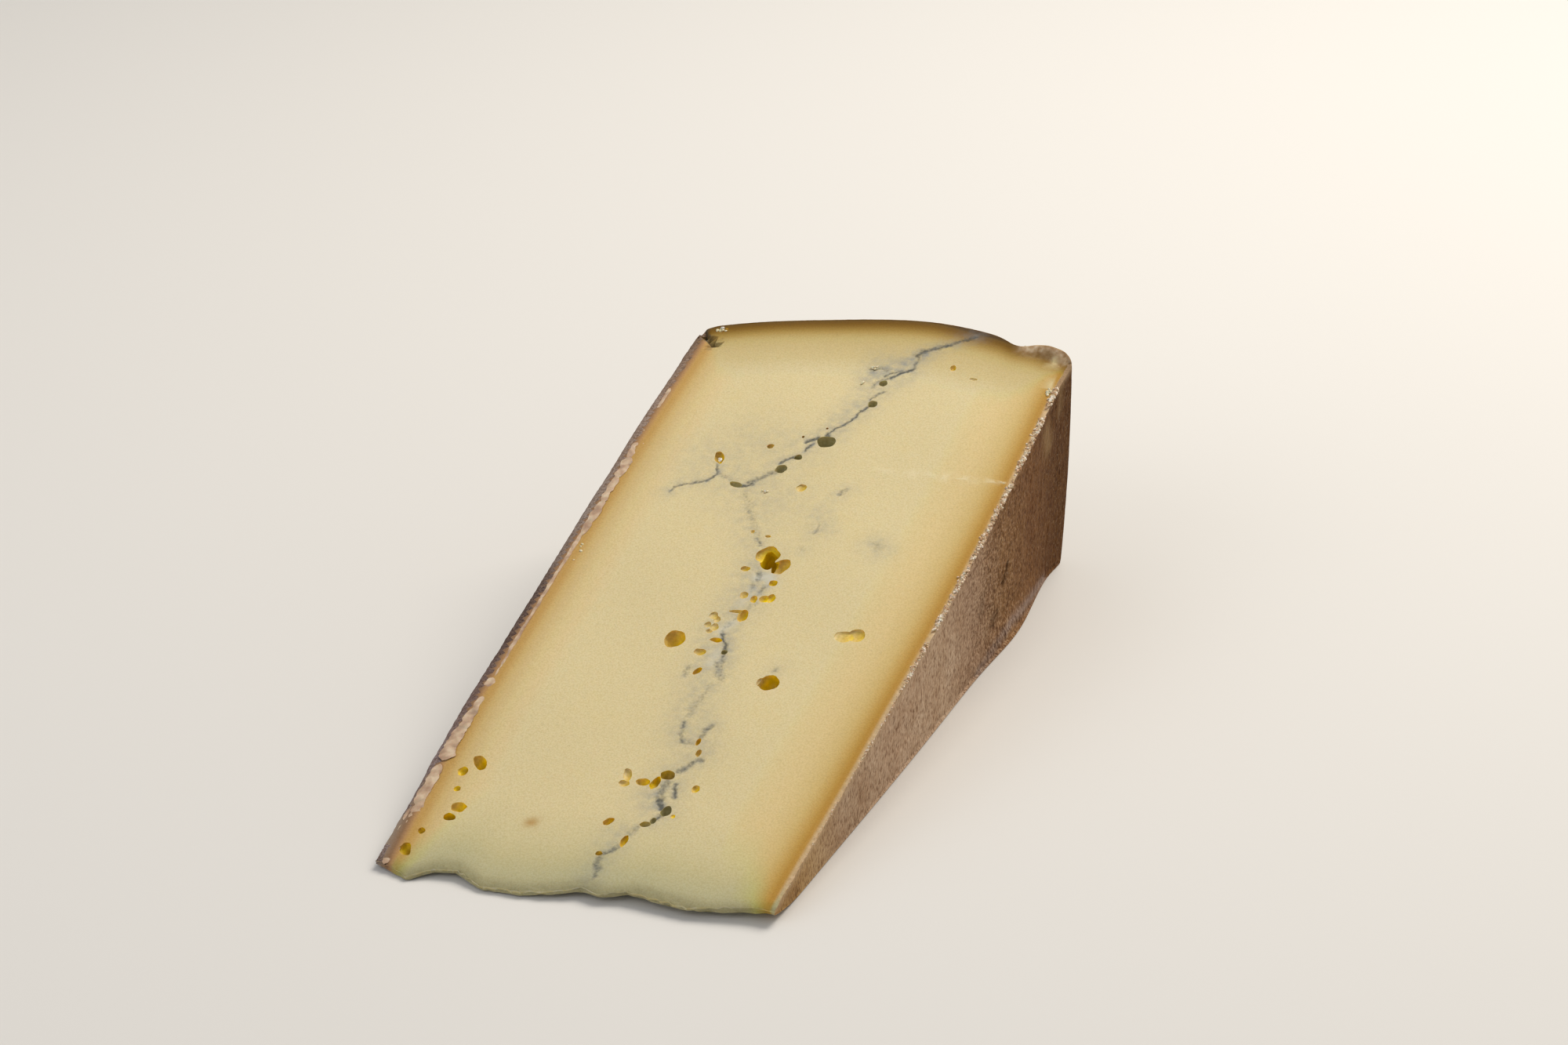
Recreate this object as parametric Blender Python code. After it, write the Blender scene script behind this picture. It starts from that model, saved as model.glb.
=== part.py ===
"""A wedge of semi-soft cheese with a line of ash through it, cut from a round wheel.

The wedge lies on one of its two cut faces. The wheel's axis runs along X, so the wheel's two flat
sides, with their rind, are the wedge's left and right. The heel, which is the rim of the wheel,
faces +Y, the thin broken tip near the wheel's centre faces -Y, and +Z is up. The origin is the
middle of the bottom of the wedge's box.

Places on the wedge are given as x, across the wheel's height, and r, the distance from its axis.
"""

import math

import bmesh
import bpy
from mathutils import Matrix, Vector

MM = 0.001

# The wheel that the wedge was cut from.
WHEEL_RADIUS = 165.4 * MM  # from the axis to the fullest part of the heel
LEFT_SIDE = 35.6 * MM  # from the middle of the wheel to its left side, near the axis
LEFT_SWELL = 2.3 * MM  # how far the left side swells beyond that
LEFT_POWER = 0.9  # under 1 moves the fullest part of a side inwards, over 1 outwards
LEFT_FLARE = 0.9 * MM  # how far the left side stands out farther towards the tip
LEFT_FLARE_R = 36.0 * MM
LEFT_FLARE_REACH = 18.0 * MM
RIGHT_SIDE = 33.9 * MM  # the same three for the right side
RIGHT_SWELL = 2.8 * MM
RIGHT_POWER = 1.2
RIGHT_LEAN = 0.088  # how far the right side leans out for each unit of height
RIGHT_FLARE = 0.9 * MM  # how far the right side stands out farther at its back corner
RIGHT_FLARE_R = 157.0 * MM
RIGHT_FLARE_REACH = 4.0 * MM
RIGHT_BULGE = 1.5 * MM  # how far it stands out farther at the ground, before that corner
RIGHT_BULGE_R = 124.0 * MM
RIGHT_BULGE_REACH = 11.0 * MM
RIGHT_BULGE_HEIGHT = 5.0 * MM
SWELL_REACH = 185.0 * MM  # the distance from the axis at which the swelling has died out
HEEL_APEX = 10.0 * MM  # the heel is fullest a little to the right of the middle
HEEL_UNIT = 10.0 * MM  # the two drops below are those at this distance from the apex
LEFT_DROP = 0.76 * MM  # how far the heel has fallen back there, to the left
LEFT_DROP_POWER = 1.68
RIGHT_DROP = 0.9 * MM
RIGHT_DROP_POWER = 1.8
HEEL_DENT = 1.6 * MM  # depth of the dent in the heel, before its right corner
HEEL_DENT_X = 28.3 * MM
HEEL_DENT_REACH = 2.4 * MM
LEFT_CORNER = 5.0 * MM  # radius where the heel turns into a side
RIGHT_CORNER = 2.8 * MM
CORNER_R = 160.0 * MM  # how far from the axis those two corners are

# The cut.
WEDGE_ANGLE = math.radians(16.2)
FACE_WAVE = 0.2 * MM  # how far the wire left the cut face out of flat
FACE_WAVE_LENGTH = 46.0 * MM
SHOULDER = 2.6 * MM  # radius of the left rind, which the cut dragged over
SHOULDER_SHARE = 0.4  # the shoulder's largest share of the wedge's thickness
RIND = 2.4 * MM  # thickness of the rind in the cut face
HEEL_LIP = 0.15 * MM  # how far the heel's rind stands above the cut face
CORNER_LIP = 1.3 * MM  # the same at the right back corner, where it curls up
CORNER_LIP_X = 35.5 * MM
CORNER_LIP_REACH = 4.0 * MM
CRACK = 1.5 * MM  # depth of the crack in the rind at the left back corner
CRACK_X = -33.4 * MM
CRACK_R = 157.0 * MM
CRACK_REACH = 1.2 * MM

# The tip: where the broken edge lies, as (x, r) from left to right.
TIP_EDGE = [
    (-35.0 * MM, 4.4 * MM),
    (-29.5 * MM, 2.2 * MM),
    (-25.5 * MM, 5.0 * MM),
    (-21.5 * MM, 5.6 * MM),
    (-16.0 * MM, 3.1 * MM),
    (-9.0 * MM, 3.4 * MM),
    (-4.0 * MM, 4.6 * MM),
    (1.0 * MM, 6.6 * MM),
    (5.0 * MM, 5.8 * MM),
    (10.0 * MM, 7.5 * MM),
    (16.0 * MM, 6.8 * MM),
    (23.0 * MM, 6.3 * MM),
    (29.0 * MM, 7.5 * MM),
    (35.0 * MM, 8.8 * MM),
]
TIP_THICKNESS = 0.8 * MM
UNDERCUT = 20.0 * MM  # nearer the axis than this, the underside rises towards the tip

# The eyes that the cut opened: x, r, width, length along the face, depth.
EYES = [
    (1.4 * MM, 126.0 * MM, 4.1 * MM, 3.7 * MM, 2.6 * MM),
    (5.9 * MM, 145.4 * MM, 1.9 * MM, 2.1 * MM, 1.6 * MM),
    (6.1 * MM, 138.8 * MM, 2.0 * MM, 2.2 * MM, 1.8 * MM),
    (-17.3 * MM, 118.0 * MM, 2.2 * MM, 3.6 * MM, 1.5 * MM),
    (-4.4 * MM, 116.8 * MM, 2.2 * MM, 2.7 * MM, 1.6 * MM),
    (-11.4 * MM, 111.0 * MM, 2.7 * MM, 1.6 * MM, 1.1 * MM),
    (2.2 * MM, 91.8 * MM, 5.0 * MM, 5.8 * MM, 5.0 * MM),
    (6.0 * MM, 90.3 * MM, 2.0 * MM, 4.6 * MM, 2.2 * MM),
    (3.0 * MM, 76.4 * MM, 3.2 * MM, 2.4 * MM, 1.6 * MM),
    (-6.5 * MM, 67.8 * MM, 4.3 * MM, 4.7 * MM, 3.2 * MM),
    (-0.8 * MM, 65.4 * MM, 2.4 * MM, 1.8 * MM, 0.8 * MM),
    (14.1 * MM, 60.2 * MM, 3.7 * MM, 4.3 * MM, 3.2 * MM),
    (24.0 * MM, 75.0 * MM, 4.6 * MM, 2.6 * MM, 0.9 * MM),
    (5.1 * MM, 35.0 * MM, 2.7 * MM, 2.3 * MM, 2.0 * MM),
    (1.6 * MM, 32.5 * MM, 2.6 * MM, 1.8 * MM, 1.2 * MM),
    (8.1 * MM, 26.8 * MM, 1.9 * MM, 2.8 * MM, 1.9 * MM),
    (5.9 * MM, 23.0 * MM, 2.0 * MM, 1.5 * MM, 1.0 * MM),
    (-28.1 * MM, 30.7 * MM, 2.6 * MM, 4.0 * MM, 2.4 * MM),
    (-27.2 * MM, 19.7 * MM, 2.8 * MM, 2.3 * MM, 1.7 * MM),
    (-27.9 * MM, 16.9 * MM, 2.3 * MM, 1.9 * MM, 1.4 * MM),
]
EYE_SINK = 0.3  # share of an eye's depth by which its middle lies under the cut face

# How finely the surface is divided.
LINES_ACROSS = 36
LINES_ALONG = 46
LINES_CROWD = 0.7  # 0 spaces the crosswise lines evenly, near 1 crowds them at tip and heel
LAYERS = 6  # steps from the lower cut face to the upper one

PASTE_COLOR = (0.72, 0.58, 0.34, 1.0)
PASTE_ROUGHNESS = 0.5


def clear_scene():
    for thing in list(bpy.data.objects):
        bpy.data.objects.remove(thing, do_unlink=True)


def bump(x, r, middle_x, middle_r, reach):
    """A smooth hill, 1 in its middle and about 0 at twice its reach."""
    away = (x - middle_x) ** 2 + (r - middle_r) ** 2
    return math.exp(-away / (2 * reach**2))


def half_height(x, r):
    """From the middle of the wheel to the side that x lies towards, at r in the upper cut face."""
    if x < 0:
        swell = LEFT_SWELL * math.sin(math.pi * (r / SWELL_REACH) ** LEFT_POWER)
        return LEFT_SIDE + swell + LEFT_FLARE * bump(0.0, r, 0.0, LEFT_FLARE_R, LEFT_FLARE_REACH)
    swell = RIGHT_SWELL * math.sin(math.pi * (r / SWELL_REACH) ** RIGHT_POWER)
    flare = RIGHT_FLARE * bump(0.0, r, 0.0, RIGHT_FLARE_R, RIGHT_FLARE_REACH)
    return RIGHT_SIDE + swell + flare + RIGHT_LEAN * r * math.sin(WEDGE_ANGLE)


def heel_curve(x):
    """How far out the heel stands at x, before its corners are rounded."""
    away = abs(x - HEEL_APEX) / HEEL_UNIT
    if x < HEEL_APEX:
        return WHEEL_RADIUS - LEFT_DROP * away**LEFT_DROP_POWER
    into_dent = (x - HEEL_DENT_X) / HEEL_DENT_REACH
    dent = HEEL_DENT * math.exp(-(into_dent**2) / 2)
    return WHEEL_RADIUS - RIGHT_DROP * away**RIGHT_DROP_POWER - dent


def heel_radius(x):
    """How far out the heel stands at x, with its corners rounded."""
    corner = LEFT_CORNER if x < 0 else RIGHT_CORNER
    into_corner = abs(x) - (half_height(x, CORNER_R) - corner)
    if into_corner <= 0:
        return heel_curve(x)
    into_corner = min(into_corner, corner)
    return heel_curve(x) - corner + math.sqrt(corner**2 - into_corner**2)


def tip_radius(x):
    """Where the broken tip lies at x, straight between the points of TIP_EDGE."""
    for (x_a, r_a), (x_b, r_b) in zip(TIP_EDGE, TIP_EDGE[1:]):
        if x <= x_b:
            share = max((x - x_a) / (x_b - x_a), 0.0)
            return r_a + (r_b - r_a) * share
    return TIP_EDGE[-1][1]


def across(u):
    """Spacing of the lengthwise lines, from -1 at the left side to 1: they crowd at the rind."""
    return math.sin(math.pi / 2 * u)


def along(t):
    """Spacing of the crosswise lines, from 0 at the tip to 1 at the heel."""
    return t - LINES_CROWD * math.sin(2 * math.pi * t) / (2 * math.pi)


def place_on_face(u, t):
    """The point (x, r) of the cut face at u across and t along."""
    sideways = across(u)
    x_at_heel = sideways * half_height(sideways, CORNER_R)
    near = tip_radius(x_at_heel)
    r = near + (heel_radius(x_at_heel) - near) * along(t)
    return sideways * half_height(sideways, r), r


def edge_distance(x, r):
    """How far the point (x, r) lies inside the rind's outer face, at a side or at the heel."""
    return max(min(half_height(x, r) - abs(x), heel_radius(x) - r), 0.0)


def face_lift(x, r):
    """How far the upper surface stands off the plane of the cut at (x, r)."""
    turn = 2 * math.pi / FACE_WAVE_LENGTH
    wave = FACE_WAVE * math.sin(turn * (r + 0.6 * x)) * math.cos(0.7 * turn * (x - 0.2 * r))
    outer = max(1 - edge_distance(x, r) / RIND, 0.0)
    at_heel = max(1 - (heel_radius(x) - r) / RIND, 0.0)
    corner = bump(x, r, CORNER_LIP_X, CORNER_R, CORNER_LIP_REACH)
    crack = bump(x, r, CRACK_X, CRACK_R, CRACK_REACH)
    return wave + HEEL_LIP * at_heel + CORNER_LIP * outer * corner - CRACK * outer * crack


def round_shoulder(x, r, depth):
    """Draws a point near the left upper edge in to the rounded rind. It returns x and the depth."""
    radius = min(SHOULDER, SHOULDER_SHARE * r * WEDGE_ANGLE)
    left = -half_height(-1, r)
    outwards = radius - (x - left)
    upwards = radius - depth
    if outwards <= 0 or upwards <= 0:
        return x, depth
    share = max(outwards, upwards) / math.hypot(outwards, upwards)
    return left + radius - outwards * share, radius - upwards * share


def lean_side(x, r, depth):
    """Draws a point of the right half in, the more the deeper it lies under the upper cut face."""
    if x <= 0:
        return x
    height = max(r * WEDGE_ANGLE - depth, 0.0)
    bulge = RIGHT_BULGE * bump(0.0, r, 0.0, RIGHT_BULGE_R, RIGHT_BULGE_REACH)
    inwards = RIGHT_LEAN * depth - bulge * max(1 - height / RIGHT_BULGE_HEIGHT, 0.0)
    return x * (1 - inwards / half_height(x, r))


def underside(x, r):
    """Height of the underside over the ground: 0, but for the last stretch to the tip."""
    near = tip_radius(x)
    share = (UNDERCUT - r) / (UNDERCUT - near)
    if share <= 0:
        return 0.0
    at_tip = max(near * math.sin(WEDGE_ANGLE) - TIP_THICKNESS, 0.0)
    return at_tip * min(share, 1.0) ** 2


def flat_slice():
    """The lower cut face, as a net of quads in the plane z = 0."""
    mesh = bmesh.new()
    bmesh.ops.create_grid(mesh, x_segments=LINES_ACROSS, y_segments=LINES_ALONG, size=0.5)
    for vert in mesh.verts:
        x, r = place_on_face(2 * vert.co.x, vert.co.y + 0.5)
        vert.co = Vector((x, r, 0.0))
    return mesh


def swing_up(mesh):
    """Turns the slice about the wheel's axis, which sweeps out the body of the wedge."""
    bmesh.ops.spin(
        mesh,
        geom=mesh.verts[:] + mesh.edges[:] + mesh.faces[:],
        cent=(0, 0, 0),
        axis=(1, 0, 0),
        dvec=(0, 0, 0),
        angle=WEDGE_ANGLE,
        steps=LAYERS,
        use_merge=False,
        use_duplicate=False,
    )
    bmesh.ops.recalc_face_normals(mesh, faces=mesh.faces[:])


def shape_surface(mesh):
    """Adds the rounded shoulder, the lips of the rind, the waves of the cut and the raised tip."""
    for vert in mesh.verts:
        x = vert.co.x
        r = math.hypot(vert.co.y, vert.co.z)
        turned = math.atan2(vert.co.z, vert.co.y)
        depth = r * (WEDGE_ANGLE - turned)
        on_top = depth < 1e-6
        lift = face_lift(x, r) if on_top else 0.0
        new_x, new_depth = round_shoulder(lean_side(x, r, depth), r, depth)
        thickness = r * WEDGE_ANGLE
        raised = underside(x, r) * depth / thickness
        turned = WEDGE_ANGLE - new_depth / r
        vert.co.x = new_x
        vert.co.y = r * math.cos(turned) - lift * math.sin(WEDGE_ANGLE)
        vert.co.z = r * math.sin(turned) + lift * math.cos(WEDGE_ANGLE) + raised


def flatten_underside(mesh):
    """Joins the flat quads that lie on the ground into one face."""
    low = [face for face in mesh.faces if max(vert.co.z for vert in face.verts) < 1e-7]
    bmesh.ops.dissolve_faces(mesh, faces=low, use_verts=True)


def centre_on_ground(mesh):
    """Moves the wedge so that its box stands on the origin, and returns the move."""
    lowest = [min(vert.co[i] for vert in mesh.verts) for i in range(3)]
    highest = [max(vert.co[i] for vert in mesh.verts) for i in range(3)]
    move = Vector((-(lowest[0] + highest[0]) / 2, -(lowest[1] + highest[1]) / 2, -lowest[2]))
    bmesh.ops.translate(mesh, verts=mesh.verts[:], vec=move)
    return move


def paste_material():
    material = bpy.data.materials.new("semi_soft_paste")
    material.use_nodes = True
    shader = material.node_tree.nodes["Principled BSDF"]
    shader.inputs["Base Color"].default_value = PASTE_COLOR
    shader.inputs["Roughness"].default_value = PASTE_ROUGHNESS
    shader.inputs["Metallic"].default_value = 0.0
    material.diffuse_color = PASTE_COLOR
    return material


def add_object(name, mesh):
    """A bmesh made into an object in the scene."""
    data = bpy.data.meshes.new(name)
    mesh.to_mesh(data)
    mesh.free()
    thing = bpy.data.objects.new(name, data)
    bpy.context.scene.collection.objects.link(thing)
    return thing


def make_wedge():
    mesh = flat_slice()
    swing_up(mesh)
    shape_surface(mesh)
    flatten_underside(mesh)
    move = centre_on_ground(mesh)
    wedge = add_object("cheese_wedge", mesh)
    wedge.data.shade_smooth()
    wedge.data.set_sharp_from_angle(angle=math.radians(35))
    wedge.data.materials.append(paste_material())
    return wedge, move


def make_eye_cutters(move):
    """Balls pressed into the cut face, one for each eye, drawn out to its width and length."""
    mesh = bmesh.new()
    onto_face = Matrix.Translation(move) @ Matrix.Rotation(WEDGE_ANGLE, 4, "X")
    for x, r, width, length, depth in EYES:
        height = depth / (1 + EYE_SINK)
        stretch = Matrix.Diagonal((width / 2, length / 2, height, 1))
        place = Matrix.Translation((x, r, -EYE_SINK * height))
        bmesh.ops.create_icosphere(
            mesh, subdivisions=2, radius=1.0, matrix=onto_face @ place @ stretch
        )
    cutters = add_object("eye_cutters", mesh)
    cutters.hide_render = True
    cutters.display_type = "WIRE"
    return cutters


def cut_eyes(wedge, cutters):
    modifier = wedge.modifiers.new("eyes", "BOOLEAN")
    modifier.operation = "DIFFERENCE"
    modifier.solver = "EXACT"
    modifier.use_self = True
    modifier.object = cutters


def main():
    clear_scene()
    wedge, move = make_wedge()
    cut_eyes(wedge, make_eye_cutters(move))


main()
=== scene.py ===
# %% [markdown]
# # A wedge of semi-soft cheese with a line of ash
#
# This lesson dresses one piece of cheese. The real thing is a slice of a round wheel about 33 cm
# across: ivory paste with small glossy eyes, a thin broken line of ash through its middle, and a
# washed, felted rind on three of its sides. It lies on one cut face and shows the other.
#
# The frame holds a plain solid of the wedge at its real size. Here that solid is made again with
# a much finer surface, is given its colours, and small separate pieces are strewn on it.

# %% Loading the frame
import math
import random

import bmesh
import bpy
import numpy as np
from mathutils import Matrix, Vector, noise


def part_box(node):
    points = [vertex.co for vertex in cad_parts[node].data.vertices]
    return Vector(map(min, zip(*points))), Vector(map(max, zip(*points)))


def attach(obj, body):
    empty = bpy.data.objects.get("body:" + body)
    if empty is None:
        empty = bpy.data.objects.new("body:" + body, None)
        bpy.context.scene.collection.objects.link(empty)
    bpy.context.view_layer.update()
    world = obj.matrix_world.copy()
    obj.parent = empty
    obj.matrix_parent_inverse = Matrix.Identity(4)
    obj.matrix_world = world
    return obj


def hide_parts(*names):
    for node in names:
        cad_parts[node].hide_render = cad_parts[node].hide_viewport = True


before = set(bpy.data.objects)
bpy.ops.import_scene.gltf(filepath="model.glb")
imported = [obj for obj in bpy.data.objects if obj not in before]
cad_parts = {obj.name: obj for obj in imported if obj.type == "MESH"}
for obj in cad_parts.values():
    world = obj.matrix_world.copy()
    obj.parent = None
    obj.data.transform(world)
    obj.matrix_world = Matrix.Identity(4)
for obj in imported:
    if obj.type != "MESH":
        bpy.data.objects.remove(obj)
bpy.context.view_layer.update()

low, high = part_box("cheese_wedge")
print("the wedge's box:", [round(side * 1000, 1) for side in high - low], "mm")

# %% [markdown]
# ## Where things are on a wheel
#
# A place on the wedge is easiest to say in the wheel's own terms. `x` runs across the wheel's
# height, from its left flat side to its right one. `r` is the distance from the wheel's axis,
# which lies along X just under the tip. The third number is the depth below the upper cut face.
#
# The sides aren't flat: a wheel sags and swells as it ripens, and the right side leans out over
# the ground. These few numbers are the same ones that the frame's solid was made from.

# %% The wheel's sizes
MM = 0.001
WHEEL_RADIUS = 165.4 * MM
WEDGE_ANGLE = math.radians(16.2)
LEFT_SIDE, LEFT_SWELL, LEFT_POWER = 35.6 * MM, 2.3 * MM, 0.9
RIGHT_SIDE, RIGHT_SWELL, RIGHT_POWER = 33.9 * MM, 2.8 * MM, 1.2
RIGHT_LEAN = 0.088
SWELL_REACH = 185.0 * MM
LEFT_FLARE, LEFT_FLARE_R, LEFT_FLARE_REACH = 0.9 * MM, 36.0 * MM, 18.0 * MM
RIGHT_FLARE, RIGHT_FLARE_R, RIGHT_FLARE_REACH = 0.9 * MM, 157.0 * MM, 4.0 * MM
BULGE, BULGE_R, BULGE_REACH, BULGE_HEIGHT = 1.5 * MM, 124.0 * MM, 11.0 * MM, 5.0 * MM


def hill(place, middle, reach):
    """1 at the middle, and nearly 0 at three times the reach from it."""
    return np.exp(-(((place - middle) / reach) ** 2) / 2)


def fade(away, width):
    """1 at no distance, and nearly 0 at twice the width."""
    return np.exp(-((away / width) ** 2))


def closeness(away, reach):
    """1 at no distance, falling evenly to 0 at the reach."""
    return np.clip(1 - away / reach, 0, 1)


def half_height(x, r):
    """From the wheel's middle to the side that x lies towards, in the upper cut face."""
    left = LEFT_SIDE + LEFT_SWELL * np.sin(np.pi * (r / SWELL_REACH) ** LEFT_POWER)
    left = left + LEFT_FLARE * hill(r, LEFT_FLARE_R, LEFT_FLARE_REACH)
    right = RIGHT_SIDE + RIGHT_SWELL * np.sin(np.pi * (r / SWELL_REACH) ** RIGHT_POWER)
    right = right + RIGHT_FLARE * hill(r, RIGHT_FLARE_R, RIGHT_FLARE_REACH)
    right = right + RIGHT_LEAN * r * math.sin(WEDGE_ANGLE)
    return np.where(x < 0, left, right)


axis_y = high.y - WHEEL_RADIUS
middle_x = low.x + half_height(-1, np.linspace(0, WHEEL_RADIUS, 400)).max()
print("the wheel's axis lies", round((low.y - axis_y) * 1000, 1), "mm before the tip")


# %% [markdown]
# The heel is the wheel's rim. It is fullest right of the middle, falls away to both sides, and has
# a dent before the right corner. The tip broke off as the wedge was lifted, so its edge wanders:
# fourteen points with straight lines between them are enough, since the breakage comes later.

# %% The heel and the tip
HEEL_APEX, HEEL_UNIT = 10.0 * MM, 10.0 * MM
LEFT_DROP, LEFT_DROP_POWER = 0.76 * MM, 1.68
RIGHT_DROP, RIGHT_DROP_POWER = 0.9 * MM, 1.8
DENT, DENT_X, DENT_REACH = 1.6 * MM, 28.3 * MM, 2.4 * MM
LEFT_CORNER, RIGHT_CORNER, CORNER_R = 5.0 * MM, 2.8 * MM, 160.0 * MM
TIP_X = MM * np.array([-35, -29.5, -25.5, -21.5, -16, -9, -4, 1, 5, 10, 16, 23, 29, 35])
TIP_R = MM * np.array([4.4, 2.2, 5, 5.6, 3.1, 3.4, 4.6, 6.6, 5.8, 7.5, 6.8, 6.3, 7.5, 8.8])


def heel_radius(x):
    """How far out the heel stands at x, with its two corners rounded."""
    away = abs(x - HEEL_APEX) / HEEL_UNIT
    right_fall = RIGHT_DROP * away**RIGHT_DROP_POWER + DENT * hill(x, DENT_X, DENT_REACH)
    fall = np.where(x < HEEL_APEX, LEFT_DROP * away**LEFT_DROP_POWER, right_fall)
    corner = np.where(x < 0, LEFT_CORNER, RIGHT_CORNER)
    into = np.clip(abs(x) - (half_height(x, CORNER_R) - corner), 0, corner)
    return WHEEL_RADIUS - fall - corner + np.sqrt(corner**2 - into**2)


def tip_radius(x):
    """How far from the axis the broken tip lies at x."""
    return np.interp(x, TIP_X, TIP_R)


print("heel at the middle:", round(float(heel_radius(0.0)) * 1000, 1), "mm from the axis")

# %% [markdown]
# ## Bending a block into a wedge
#
# A wedge could be spun about the wheel's axis from a flat slice. Here it starts as a straight
# block instead, one unit each way, and is bent last. The block is easy to think about: its top is
# the cut face, its two long walls are the wheel's flat sides, its far end is the heel and its near
# end the tip. It can be divided finely only where something small happens, and the bend then
# carries every new vertex onto the true curve, with no facets left over.

# %% The bend
SHOULDER, SHOULDER_SHARE = 2.6 * MM, 0.4  # the left rind, which the knife dragged over
UNDERCUT, TIP_THICKNESS = 20.0 * MM, 0.8 * MM  # the underside rises towards the tip


def wheel_places(block):
    """The x, r and depth under the cut face of block points, which run -1..1, 0..1 and 0..1."""
    u, t, s = block[:, 0], block[:, 1], block[:, 2]
    x_at_heel = u * half_height(u, CORNER_R)
    near = tip_radius(x_at_heel)
    r = near + (heel_radius(x_at_heel) - near) * t
    x = u * half_height(u, r)
    depth = r * WEDGE_ANGLE * (1 - s)
    bulge = BULGE * hill(r, BULGE_R, BULGE_REACH)
    bulge = bulge * np.clip(1 - r * WEDGE_ANGLE * s / BULGE_HEIGHT, 0, 1)
    lean = np.where(x > 0, (RIGHT_LEAN * depth - bulge) / half_height(x, r), 0)
    x = x * (1 - lean)
    left = -half_height(-1, r)
    radius = np.minimum(SHOULDER, SHOULDER_SHARE * r * WEDGE_ANGLE)
    outwards, upwards = radius - (x - left), radius - depth
    share = np.maximum(outwards, upwards) / np.maximum(np.hypot(outwards, upwards), 1e-9)
    rounded = (outwards > 0) & (upwards > 0)
    x = np.where(rounded, left + radius - outwards * share, x)
    depth = np.where(rounded, radius - upwards * share, depth)
    return x, r, depth


def in_the_world(x, r, depth, lift):
    """World places, with each point lifted off the plane of the upper cut face."""
    turned = WEDGE_ANGLE - depth / r
    near = tip_radius(x)
    rise = np.clip((UNDERCUT - r) / (UNDERCUT - near), 0, 1) ** 2
    rise = rise * np.maximum(near * math.sin(WEDGE_ANGLE) - TIP_THICKNESS, 0)
    rise = rise * depth / (r * WEDGE_ANGLE)
    y = axis_y + r * np.cos(turned) - lift * math.sin(WEDGE_ANGLE)
    z = r * np.sin(turned) + lift * math.cos(WEDGE_ANGLE) + rise
    return np.stack([x + middle_x, y, z], axis=1)


def world_point(x, r, depth=0.0, lift=0.0):
    """One place of the wedge in the world."""
    return Vector(in_the_world(*(np.array([number]) for number in (x, r, depth, lift)))[0])


def on_the_cut(places):
    """The x and r of world places projected onto the upper cut face, and their depth under it."""
    y, z = places[:, 1] - axis_y, places[:, 2]
    r = y * math.cos(WEDGE_ANGLE) + z * math.sin(WEDGE_ANGLE)
    depth = y * math.sin(WEDGE_ANGLE) - z * math.cos(WEDGE_ANGLE)
    return places[:, 0] - middle_x, r, depth
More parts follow.
